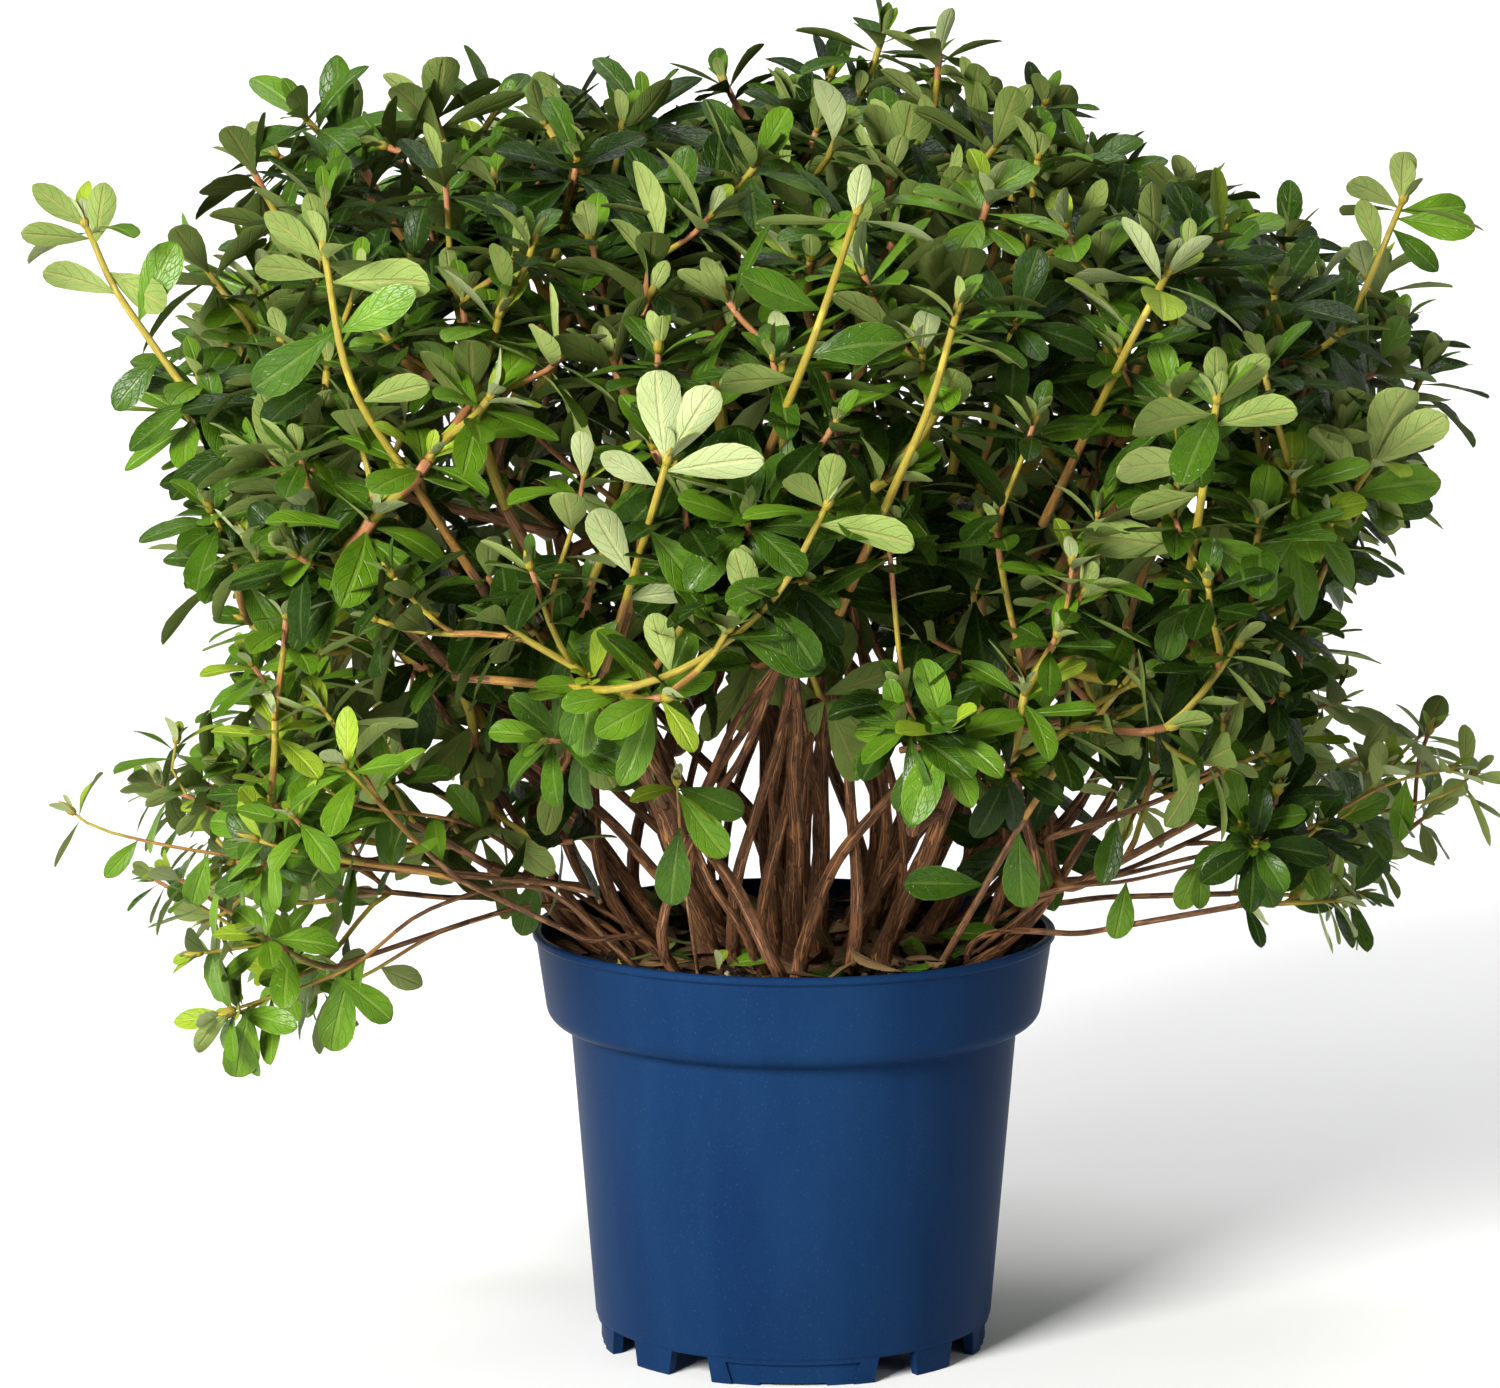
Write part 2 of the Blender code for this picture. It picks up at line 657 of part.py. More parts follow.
def join_mass(spray, leaf, material, collection):
    """Fuses a mass's twigs and leaves into one solid."""
    parts = new_collection(spray.mass.name + "_parts")
    for number, (start, end, thick, thin) in enumerate(spray.twigs[1:]):
        make_twig(f"{spray.mass.name}_twig_{number}", start, end, thick, thin, parts)
    for number, place in enumerate(spray.leaves):
        new_object(f"{spray.mass.name}_leaf_{number}", leaf, parts).matrix_world = place
    whole = make_twig(spray.mass.name, *spray.twigs[0], collection)
    union = whole.modifiers.new("join", "BOOLEAN")
    union.operation = "UNION"
    union.operand_type = "COLLECTION"
    union.collection = parts
    for solver in SOLVERS:
        union.solver = solver
        bpy.context.view_layer.update()
        evaluated = whole.evaluated_get(bpy.context.evaluated_depsgraph_get())
        joined = bpy.data.meshes.new_from_object(evaluated)
        if largest_piece(joined):
            break
    whole.modifiers.clear()
    whole.data = joined
    for part in list(parts.objects):
        bpy.data.objects.remove(part)
    bpy.data.collections.remove(parts)
    joined.materials.clear()
    joined.materials.append(material)
    return whole


# ---------------------------------------------------------------- the whole plant


def main():
    for old in list(bpy.data.objects):
        bpy.data.objects.remove(old)
    parts = new_collection(NAME)
    cutters = new_collection(NAME + "_cutters")
    cutters.hide_render = True
    plastic = principled("pot_plastic", (0.030, 0.062, 0.165), 0.42)
    earth = principled("potting_soil", (0.030, 0.020, 0.011), 0.95)
    bark = principled("bark", (0.100, 0.045, 0.022), 0.85)
    leaves = principled("leaves", (0.055, 0.095, 0.020), 0.45)

    make_pot(plastic, parts, cutters)
    make_soil(earth, parts)

    masses = lay_out_masses()
    carried = {}
    parents = []
    for mass in masses:
        if mass.carrier == STEM:
            carried[mass] = stem_path(mass)
            wood = make_limb(mass.name.replace("foliage", STEM), *carried[mass], bark, parts)
            if mass.tier == PARENT_TIER:
                parents.append((mass, wood))
    for mass in masses:
        if mass.carrier == BOUGH:
            parent, wood = max(parents, key=lambda other: other[0].axis.dot(mass.axis))
            carried[mass] = seat_bough(mass, carried[parent], wood, bark, parts)
    with_leaders = {
        mass: (points + [mass.tip], radii + [LIMB_TIP_RADIUS]) for mass, (points, radii) in carried.items()
    }
    leaf = leaf_mesh()
    samples = leaf_samples()
    for number, mass in enumerate(masses):
        limbs = [with_leaders[other] for other in masses if other is not mass] + [carried[mass]]
        spray = Spray(mass, limbs, SEED + number)
        spray.grow(samples)
        join_mass(spray, leaf, leaves, parts)
    bpy.data.meshes.remove(leaf)


main()
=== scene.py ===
"""The look of an azalea shrub in a round nursery pot: bark, twigs, leaves, soil and moulded plastic.

The crown grows by the same rule as its solids. Masses of foliage share it by direction, seen from the heart
of the shrub, and each one grows on from the limb that carries it, here to finer twigs that end in whorls.
"""

import math
import random

import bmesh
import bpy
import numpy as np
from mathutils import Matrix, Vector, noise


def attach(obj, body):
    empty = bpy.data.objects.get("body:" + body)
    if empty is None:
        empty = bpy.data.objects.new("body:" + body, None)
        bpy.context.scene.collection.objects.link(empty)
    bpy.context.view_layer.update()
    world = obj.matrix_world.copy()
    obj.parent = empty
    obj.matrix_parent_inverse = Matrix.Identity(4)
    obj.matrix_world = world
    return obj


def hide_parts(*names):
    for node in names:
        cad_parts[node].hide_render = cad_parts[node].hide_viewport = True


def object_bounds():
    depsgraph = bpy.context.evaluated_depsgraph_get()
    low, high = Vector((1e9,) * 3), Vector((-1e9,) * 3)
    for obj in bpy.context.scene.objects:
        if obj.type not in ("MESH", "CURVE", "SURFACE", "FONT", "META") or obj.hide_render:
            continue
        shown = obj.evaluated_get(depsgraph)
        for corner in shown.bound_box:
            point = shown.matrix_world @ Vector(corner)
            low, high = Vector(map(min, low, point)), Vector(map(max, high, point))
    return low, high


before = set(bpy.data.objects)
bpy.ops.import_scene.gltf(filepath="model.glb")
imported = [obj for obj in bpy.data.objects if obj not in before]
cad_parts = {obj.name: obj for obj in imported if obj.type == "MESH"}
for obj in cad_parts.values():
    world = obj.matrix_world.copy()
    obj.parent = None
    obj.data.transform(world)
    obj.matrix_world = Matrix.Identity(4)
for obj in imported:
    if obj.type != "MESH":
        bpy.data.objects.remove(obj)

CAD_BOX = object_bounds()

# ---- sizes shared with the solids

GAP = 0.0003
RIM_RADIUS = 0.116
POT_HEIGHT = 0.1866
LIP_HEIGHT = 0.0035
LIP_STEP = 0.0022
COLLAR_TOP_RADIUS = 0.1141
COLLAR_FOOT_RADIUS = 0.1099
COLLAR_FOOT_HEIGHT = 0.152
BODY_TOP_RADIUS = 0.099
BODY_TOP_HEIGHT = 0.143
BODY_FOOT_RADIUS = 0.0885
FOOT_HEIGHT = 0.0118
FOOT_TOP_RADIUS = 0.0876
FOOT_RADIUS = 0.087
FOOT_WIDTH = 0.0045
POT_WALL = 0.0018
FLOOR_THICKNESS = 0.002
NOTCH_ANGLES = [quarter + side for quarter in (0, 90, 180, 270) for side in (31.2, 58.8)]
NOTCH_MOUTH = 0.0258
NOTCH_CROWN = 0.0184
NOTCH_HEIGHT = 0.0112
SOIL_LEVEL = 0.1755

HEART = Vector((0.0, 0.0, 0.165))
CROWN_HALF_WIDTH = 0.3
CROWN_HALF_DEPTH = 0.272
CROWN_MIDDLE = 0.34
CROWN_HALF_HEIGHT = 0.245
CROWN_SQUARENESS = 2.9
WAIST_ANGLE = 64.0
WAIST_SPREAD = 8.0
WAIST_PINCH = 0.08
REACH_STEPS = 16
LONG_SHOOTS = (  # azimuth, angle from the vertical, extra reach (less, at a hollow), spread
    (193, 46, 0.2, 7),
    (180, 33, 0.07, 10),
    (180, 8, 0.04, 8),
    (2, 42, 0.15, 9),
    (0, 33, -0.07, 9),
    (183, 58, -0.1, 8),
    (0, 66, -0.1, 7),
    (26, 79, 0.2, 12),
    (179, 78, 0.2, 12),
    (203, 89, 0.12, 9),
    (62, 12, 0.09, 10),
    (92, 56, 0.11, 12),
    (268, 56, 0.11, 12),
)
DROOP_AZIMUTH = 203.0
STEM = "stem"
BOUGH = "bough"
TIERS = (  # name, angle, azimuths, carrier, its radius, leaf length of the solids, leaf length here
    ("top", 7.0, (60,), STEM, 0.0058, 0.086, 0.038),
    ("upper", 27.0, (15, 105, 195, 285), STEM, 0.0066, 0.086, 0.038),
    ("middle", 47.0, (0, 48, 92, 138, 192, 232, 270, 312), STEM, 0.0062, 0.082, 0.038),
    ("lower", 67.0, (22, 66, 112, 160, 206, 248, 292, 338), BOUGH, 0.0036, 0.074, 0.032),
    ("skirt", 81.0, (0, 28, 152, 179, 228, 332), STEM, 0.0042, 0.06, 0.029),
    ("droop", 92.0, (DROOP_AZIMUTH,), STEM, 0.0034, 0.054, 0.028),
)
TIER_LIFT = 0.25
UNDERSIDE_ANGLE = 90.0
UNDERSIDE_LIFT = 35.0
DROOP_DIP = 9.0
DROOP_SPREAD = 20.0
LIMB_TIP_RADIUS = 0.003
FORK_ANGLE_FROM_STEM = 38.0
FORK_POINT = 3
FOOT_SHARES = {"top": 0.06, "upper": 0.29, "middle": 0.5, "skirt": 0.74, "droop": 0.66}
PARENT_TIER = "middle"
CORE_TIERS = ("top", "upper", "middle")
FLARE_HEIGHT = 0.006
LIMB_POINTS = 6
LIMB_END = 0.012
LIMB_PULL = 0.36
BOUGH_SHARE = 0.8
STEM_RISE = 0.5
ENTRY_SHARE = 0.5
SAG = 0.012
RIM_CLEARANCE = 0.013
TIP_INSET = 0.78
LOW_RISE = {"skirt": 1.2, "droop": 0.9}

UP = Vector((0.0, 0.0, 1.0))
GOLDEN_ANGLE = math.radians(137.508)
NOISE_SEED = 7
noise.seed_set(NOISE_SEED)


# ---- node helpers


def put(tree, kind, sockets=None, **settings):
    """Adds a node, sets it up, and gives each named or numbered input a value or a link."""
    node = tree.nodes.new("ShaderNode" + kind)
    for key, value in settings.items():
        setattr(node, key, value)
    for key, value in (sockets or {}).items():
        if isinstance(value, bpy.types.NodeSocket):
            tree.links.new(value, node.inputs[key])
        else:
            node.inputs[key].default_value = value
    return node


def mix_colors(tree, factor, first, second):
    """The colour between two colours, each one a value or a link."""
    node = tree.nodes.new("ShaderNodeMix")
    node.data_type = "RGBA"
    for socket, value in ((node.inputs[0], factor), (node.inputs[6], first), (node.inputs[7], second)):
        if isinstance(value, bpy.types.NodeSocket):
            tree.links.new(value, socket)
        else:
            socket.default_value = value if isinstance(value, float) else (*value, 1.0)
    return node.outputs[2]


def math_node(tree, operation, first, second=0.0):
    return put(tree, "Math", {0: first, 1: second}, operation=operation).outputs[0]


def remap(tree, value, low, high, to_low=0.0, to_high=1.0):
    sockets = {"Value": value, "From Min": low, "From Max": high, "To Min": to_low, "To Max": to_high}
    return put(tree, "MapRange", sockets).outputs[0]


def texture(tree, kind, place, scale, sockets=None, **settings):
    return put(tree, "Tex" + kind, {"Vector": place, "Scale": scale, **(sockets or {})}, **settings).outputs


def shader_group(name, inputs, outputs, build):
    """A node group of named float inputs and outputs, filled in by its build function."""
    group = bpy.data.node_groups.new(name, "ShaderNodeTree")
    for label, value in inputs.items():
        socket = group.interface.new_socket(label, in_out="INPUT", socket_type="NodeSocketFloat")
        socket.default_value = value
    for label in outputs:
        group.interface.new_socket(label, in_out="OUTPUT", socket_type="NodeSocketFloat")
    entry = group.nodes.new("NodeGroupInput")
    leaving = group.nodes.new("NodeGroupOutput")
    for label, socket in build(group, entry.outputs).items():
        group.links.new(socket, leaving.inputs[label])
    return group


def use_group(tree, group, scale=None):
    node = tree.nodes.new("ShaderNodeGroup")
    node.node_tree = group
    if scale:
        node.inputs["Scale"].default_value = scale
    return node.outputs


# ---- shared effects

LEAF_MAP = "leaf"
GRAIN_MAP = "grain"
MIDRIB_EDGES = (0.075, 0.03)
SIDE_VEIN_EDGES = (0.43, 0.49)
SIDE_VEIN_CURVE = 1.35
SIDE_VEIN_WEIGHT = 0.62
NET_SCALE = 11.0
NET_WIDTH = 0.1
NET_WEIGHT = 0.25
MARGIN_EDGES = (0.47, 0.495)
FINE_MOTTLE = 9.0
BROAD_EDGES = (0.32, 0.68)
FINE_EDGES = (0.3, 0.7)
STRIP_STRETCH = (1.0, 0.05, 1.0)
STRIP_EDGES = (0.34, 0.66)
STRIP_ROUGHNESS = 0.62
WARP_SCALE = 90.0
WARP_SHARE = 0.0012
FURROW_WIDTH = 0.09


def build_veins(tree, inputs):
    """A midrib and pairs of curved side veins, from across and along the blade."""
    place = put(tree, "UVMap", uv_map=LEAF_MAP).outputs[0]
    split = put(tree, "SeparateXYZ", {0: place}).outputs
    aside = math_node(tree, "ABSOLUTE", math_node(tree, "SUBTRACT", split[0], 0.5))
    midrib = remap(tree, aside, *MIDRIB_EDGES)
    slant = math_node(tree, "MULTIPLY", math_node(tree, "POWER", aside, SIDE_VEIN_CURVE), inputs["Slant"])
    along = math_node(tree, "MULTIPLY", split[1], inputs["Pairs"])
    phase = math_node(tree, "FRACT", math_node(tree, "SUBTRACT", along, slant))
    middle = math_node(tree, "ABSOLUTE", math_node(tree, "SUBTRACT", phase, 0.5))
    side = remap(tree, middle, *SIDE_VEIN_EDGES)
    both = math_node(tree, "MAXIMUM", midrib, math_node(tree, "MULTIPLY", side, SIDE_VEIN_WEIGHT))
    cells = texture(tree, "Voronoi", place, NET_SCALE, feature="DISTANCE_TO_EDGE", voronoi_dimensions="2D")
    net = math_node(tree, "MULTIPLY", remap(tree, cells["Distance"], 0.0, NET_WIDTH), NET_WEIGHT)
    height = math_node(tree, "SUBTRACT", net, both)
    return {"Midrib": midrib, "Veins": both, "Margin": remap(tree, aside, *MARGIN_EDGES), "Height": height}


def build_mottle(tree, inputs):
    """Soft patches over the object, from broad to fine."""
    place = put(tree, "TexCoord").outputs["Object"]
    broad = texture(tree, "Noise", place, inputs["Scale"], {"Detail": 2.0})[0]
    fine_scale = math_node(tree, "MULTIPLY", inputs["Scale"], FINE_MOTTLE)
    fine = texture(tree, "Noise", place, fine_scale, {"Detail": 1.0})[0]
    return {"Patches": remap(tree, broad, *BROAD_EDGES), "Specks": remap(tree, fine, *FINE_EDGES)}


def build_fibre(tree, inputs):
    """Torn lengthwise strips, from round and along the limb in metres."""
    place = put(tree, "UVMap", uv_map=GRAIN_MAP).outputs[0]
    stretch = put(tree, "Mapping", {"Vector": place, "Scale": STRIP_STRETCH}).outputs[0]
    warp = texture(tree, "Noise", place, WARP_SCALE, {"Detail": 1.0}, noise_dimensions="2D")[1]
    bent = put(tree, "Mix", {0: WARP_SHARE, 4: stretch, 5: warp}, data_type="VECTOR").outputs[1]
    detail = {"Detail": 5.0, "Roughness": STRIP_ROUGHNESS}
    strips = texture(tree, "Noise", bent, inputs["Scale"], detail, noise_dimensions="2D")[0]
    ridge = math_node(tree, "ABSOLUTE", math_node(tree, "SUBTRACT", strips, 0.5))
    # the furrow mask also darkens the bark's colour in bark_skin: painted shade in the cracks
    furrow = remap(tree, ridge, 0.0, FURROW_WIDTH, 1.0, 0.0)
    height = math_node(tree, "SUBTRACT", strips, math_node(tree, "MULTIPLY", furrow, 0.5))
    return {"Furrow": furrow, "Tone": remap(tree, strips, *STRIP_EDGES), "Height": height}


VEIN_OUTPUTS = ("Midrib", "Veins", "Margin", "Height")
VEINS = shader_group("leaf_veins", {"Pairs": 5.0, "Slant": 4.2}, VEIN_OUTPUTS, build_veins)
MOTTLE = shader_group("mottle", {"Scale": 40.0}, ("Patches", "Specks"), build_mottle)
FIBRE = shader_group("torn_fibre", {"Scale": 900.0}, ("Furrow", "Tone", "Height"), build_fibre)
SPECKLE_SHARE = 0.25
MARGIN_SHARE = 0.55
LEAF_MOTTLE = 46.0
LEAF_BUMP = (0.8, 0.0006)
BARK_MOTTLE = 60.0
WORN_SHARE = 0.35
BARK_DEPTH = 0.0008
EARTH_MOTTLE = 160.0
EARTH_GRAIN = 420.0
EARTH_BUMP = (0.8, 0.0012)
EARTH_GLOSS = 0.25
FLOW_STRETCH = (1.0, 1.0, 0.22)
FLOW_SCALE = 26.0
SKIN_SCALE = 1500.0
SKIN_BUMP = (0.08, 0.0003)
DUST_SCALE = 130.0
DUST_MOST = 0.04
DUST_COLOR = (0.3, 0.34, 0.42)
PLASTIC_GLOSS = 0.022
ROUGH_SHAKE = (-0.05, 0.07)
BARK_SHAKE = (0.08, -0.05)
GRAIN_EDGES = (0.15, 0.75, 0.0, 0.55)  # low and high in, low and high out, as in the next four
FLECK_EDGES = (0.82, 0.98, 0.0, 0.6)
EARTH_ROUGHNESS = (0.0, 1.0, 0.95, 0.75)
DUST_EDGES = (0.95, 1.0, 0.0, DUST_MOST)
PLASTIC_ROUGHNESS = (0.3, 0.7, 0.34, 0.46)
FLOW_EDGES = (0.35, 0.65)


def new_material(name):
    material = bpy.data.materials.new(name)
    material.use_nodes = True
    return material, material.node_tree, material.node_tree.nodes["Principled BSDF"]


def dress(tree, shader, color, roughness, height, strength, distance):
    """Links a colour and a roughness to the shader, and a bump of this height."""
    bump = put(tree, "Bump", {"Height": height, "Strength": strength, "Distance": distance})
    for value, label in ((color, "Base Color"), (roughness, "Roughness"), (bump.outputs[0], "Normal")):
        tree.links.new(value, shader.inputs[label])


def leaf_side(name, shade, tone, rib, rib_share, rough, gloss):
    """One side of a leaf: a blade between two tones, with ribs of a third."""
    material, tree, shader = new_material(name)
    veins = use_group(tree, VEINS)
    mottle = use_group(tree, MOTTLE, LEAF_MOTTLE)
    blade = mix_colors(tree, mottle["Patches"], shade, tone)
    speckled = mix_colors(tree, math_node(tree, "MULTIPLY", mottle["Specks"], SPECKLE_SHARE), blade, tone)
    ribbed = mix_colors(tree, math_node(tree, "MULTIPLY", veins["Veins"], rib_share), speckled, rib)
    edged = mix_colors(tree, math_node(tree, "MULTIPLY", veins["Margin"], MARGIN_SHARE), ribbed, rib)
    roughness = remap(tree, mottle["Specks"], 0.0, 1.0, *[rough + shake for shake in ROUGH_SHAKE])
    shader.inputs["Specular IOR Level"].default_value = gloss
    dress(tree, shader, edged, roughness, veins["Height"], *LEAF_BUMP)
    return material


def bark_skin(name, furrow, shade, tone, rough, scale, strength, share):
    """Bark or stem skin: tones that run lengthwise, and darker furrows, with painted shade on the lower
    strips and in the furrows.
    """
    material, tree, shader = new_material(name)
    fibre = use_group(tree, FIBRE, scale)
    mottle = use_group(tree, MOTTLE, BARK_MOTTLE)
    # the lower strips of the relief take the dark shade colour: painted shade, over the bark's own streaks
    strips = mix_colors(tree, fibre["Tone"], shade, tone)
    worn = mix_colors(tree, math_node(tree, "MULTIPLY", mottle["Patches"], WORN_SHARE), strips, tone)
    # the furrows darken further: painted shade in the bark's cracks
    split = mix_colors(tree, math_node(tree, "MULTIPLY", fibre["Furrow"], share), worn, furrow)
    roughness = remap(tree, fibre["Tone"], 0.0, 1.0, *[rough + shake for shake in BARK_SHAKE])
    dress(tree, shader, split, roughness, fibre["Height"], strength, BARK_DEPTH)
    return material


def earth_material(name, dark, middle, pale):
    """Crumbs of soil: two tones, darker between the grains, with pale flecks."""
    material, tree, shader = new_material(name)
    place = put(tree, "TexCoord").outputs["Object"]
    coarse = use_group(tree, MOTTLE, EARTH_MOTTLE)
    grains = texture(tree, "Voronoi", place, EARTH_GRAIN)["Distance"]
    tone = mix_colors(tree, coarse["Patches"], dark, middle)
    crumbly = mix_colors(tree, remap(tree, grains, *GRAIN_EDGES), tone, dark)
    flecked = mix_colors(tree, remap(tree, coarse["Specks"], *FLECK_EDGES), crumbly, pale)
    shader.inputs["Specular IOR Level"].default_value = EARTH_GLOSS
    dress(tree, shader, flecked, remap(tree, coarse["Specks"], *EARTH_ROUGHNESS), grains, *EARTH_BUMP)
    return material


def plastic_material(name, shade, tone):
    """Moulded plastic: faint flow marks, a satin skin and a few specks of dust."""
    material, tree, shader = new_material(name)
    place = put(tree, "TexCoord").outputs["Object"]
    stretch = put(tree, "Mapping", {"Vector": place, "Scale": FLOW_STRETCH}).outputs[0]
    flow = texture(tree, "Noise", stretch, FLOW_SCALE, {"Detail": 5.0})[0]
    skin = texture(tree, "Noise", place, SKIN_SCALE, {"Detail": 2.0})[0]
    specks = use_group(tree, MOTTLE, DUST_SCALE)["Specks"]
    flowed = mix_colors(tree, remap(tree, flow, *FLOW_EDGES), shade, tone)
    dusty = mix_colors(tree, remap(tree, specks, *DUST_EDGES), flowed, DUST_COLOR)
    shader.inputs["Specular IOR Level"].default_value = PLASTIC_GLOSS
    dress(tree, shader, dusty, remap(tree, flow, *PLASTIC_ROUGHNESS), skin, *SKIN_BUMP)
    return material


OLD, FULL, FRESH, NEW = TINTS = range(4)
LEAF_SIDES = (  # name, shade, tone, ribs, share of the ribs, roughness, gloss
    ("top_old", (0.006, 0.02, 0.001), (0.017, 0.042, 0.003), (0.062, 0.1, 0.022), 0.5, 0.28, 0.13),
    ("top_full", (0.021, 0.06, 0.002), (0.05, 0.116, 0.005), (0.11, 0.175, 0.032), 0.5, 0.28, 0.21),
    ("top_fresh", (0.058, 0.141, 0.004), (0.114, 0.23, 0.01), (0.19, 0.285, 0.045), 0.45, 0.32, 0.24),
    ("top_new", (0.165, 0.265, 0.01), (0.29, 0.4, 0.026), (0.42, 0.48, 0.075), 0.4, 0.42, 0.2),
    ("under_old", (0.085, 0.128, 0.024), (0.136, 0.19, 0.04), (0.2, 0.18, 0.05), 0.55, 0.62, 0.16),
    ("under_full", (0.155, 0.218, 0.047), (0.222, 0.298, 0.073), (0.28, 0.265, 0.075), 0.55, 0.62, 0.16),
    ("under_fresh", (0.222, 0.295, 0.074), (0.305, 0.385, 0.112), (0.36, 0.36, 0.11), 0.5, 0.62, 0.16),
    ("under_new", (0.3, 0.365, 0.145), (0.385, 0.45, 0.215), (0.46, 0.46, 0.2), 0.45, 0.6, 0.16),
)
LEAF_MATERIALS = [leaf_side("leaf_" + name, *looks) for name, *looks in LEAF_SIDES]
# the furrow and shade colours of each skin paint shade into the hollows of its relief
SKINS = (  # name, furrow, shade, tone, roughness, scale and strength of the strips, share of the furrows
    ("old_bark", (0.024, 0.008, 0.002), (0.15, 0.052, 0.016), (0.42, 0.18, 0.062), 0.78, 1000, 1.0, 1.0),
    ("twig_bark", (0.05, 0.018, 0.006), (0.17, 0.07, 0.024), (0.33, 0.16, 0.06), 0.72, 1300, 0.6, 1.0),
    ("ripe_shoot", (0.11, 0.045, 0.008), (0.26, 0.118, 0.018), (0.42, 0.225, 0.04), 0.6, 1500, 0.5, 0.7),
    ("green_shoot", (0.16, 0.095, 0.006), (0.265, 0.205, 0.012), (0.4, 0.325, 0.026), 0.52, 1500, 0.4, 0.6),
    ("red_shoot", (0.13, 0.036, 0.01), (0.28, 0.1, 0.03), (0.45, 0.205, 0.07), 0.56, 1500, 0.4, 0.6),
)
BARK, *TWIG_MATERIALS = [bark_skin(*row) for row in SKINS]
BARKY, RIPE, GREEN, RED = range(4)
FALLEN_SIDES = (  # as for the leaves
    ("dead_leaf", (0.085, 0.045, 0.02), (0.19, 0.105, 0.048), (0.28, 0.18, 0.095), 0.5, 0.75, 0.25),
    ("dry_leaf", (0.21, 0.125, 0.05), (0.33, 0.205, 0.09), (0.4, 0.28, 0.14), 0.5, 0.72, 0.25),
    ("yellow_leaf", (0.56, 0.33, 0.02), (0.68, 0.43, 0.035), (0.7, 0.5, 0.12), 0.4, 0.55, 0.35),
)
DEAD_LEAF, DRY_LEAF, YELLOW_LEAF = [leaf_side(*row) for row in FALLEN_SIDES]
EARTH = earth_material("damp_soil", (0.012, 0.007, 0.004), (0.062, 0.038, 0.02), (0.23, 0.16, 0.09))
GRIT = earth_material("pale_grit", (0.25, 0.19, 0.11), (0.48, 0.4, 0.27), (0.62, 0.54, 0.4))
PLASTIC = plastic_material("moulded_plastic", (0.0046, 0.0215, 0.07), (0.0066, 0.029, 0.086))


# ---- mesh helpers


def mesh_piece(name, points, faces, slots, materials, uv, uv_name):
    """A smooth mesh that rides on the plant. Its faces come as arrays, one for each number of corners."""
    mesh = bpy.data.meshes.new(name)
    sizes = np.concatenate([np.full(len(block), block.shape[1]) for block in faces])
    corners = np.concatenate([block.ravel() for block in faces]).astype(np.int32)
    mesh.vertices.add(len(points))
    mesh.vertices.foreach_set("co", np.asarray(points, np.float32).ravel())
    mesh.loops.add(len(corners))
    mesh.loops.foreach_set("vertex_index", corners)
    mesh.polygons.add(len(sizes))
    mesh.polygons.foreach_set("loop_start", np.concatenate([[0], np.cumsum(sizes)[:-1]]).astype(np.int32))
    mesh.polygons.foreach_set("material_index", np.concatenate(slots).astype(np.int32))
    mesh.polygons.foreach_set("use_smooth", np.ones(len(sizes), bool))
    for material in materials:
        mesh.materials.append(material)
    layer = mesh.uv_layers.new(name=uv_name)
    layer.data.foreach_set("uv", np.asarray(uv, np.float32)[corners].ravel())
    mesh.update(calc_edges=True)
    mesh.validate()
    return add_piece(name, mesh)


def link_object(name, data):
    made = bpy.data.objects.new(name, data)
    bpy.context.scene.collection.objects.link(made)
    return made


def add_piece(name, mesh):
    made = link_object(name, mesh)
    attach(made, "root")
    return made


def mesh_from(name, shape):
    """A mesh of this bmesh, which is freed."""
    mesh = bpy.data.meshes.new(name)
    shape.to_mesh(mesh)
    shape.free()
    return mesh


def distances(path):
    """How far along the path each of its points lies."""
    return np.concatenate([[0], np.cumsum([(b - a).length for a, b in zip(path, path[1:])])])


def jitter(draw, size):
    return Vector([draw.uniform(-size, size) for _ in range(3)])


def bell(away, spread):
    return math.exp(-((away / spread) ** 2))


# ---- leaves

OUTLINE_STOPS = np.array([0.0, 0.06, 0.16, 0.3, 0.46, 0.62, 0.77, 0.89, 0.965, 1.0])
OBOVATE = np.array([0.05, 0.07, 0.16, 0.37, 0.64, 0.87, 1.0, 0.87, 0.52, 0.07])
ELLIPTIC = np.array([0.05, 0.085, 0.31, 0.64, 0.91, 1.0, 0.9, 0.63, 0.33, 0.06])
FINE = (OUTLINE_STOPS, np.array([-1.0, -0.5, 0.0, 0.5, 1.0]))
PLAIN = (np.array([0.0, 0.09, 0.26, 0.46, 0.66, 0.83, 0.94, 1.0]), np.array([-1.0, 0.0, 1.0]))
LEAF_THICKNESS = 0.011
THICK_FROM = 0.08
THICK_SPAN = 0.84
WAVINESS = 9
VARIANTS = 14
BLADES = ((0.37, 0.48), (0.24, 0.52), (0.12, 0.3))  # width, fold, cup
BENDS = ((-0.6, 1, 1, 1), (0.12, 0.75))
MARGINS = ((-0.09, 0.09), (-0.06, 0.06), (0.0, 0.5))  # wave, sway, share of the obovate outline


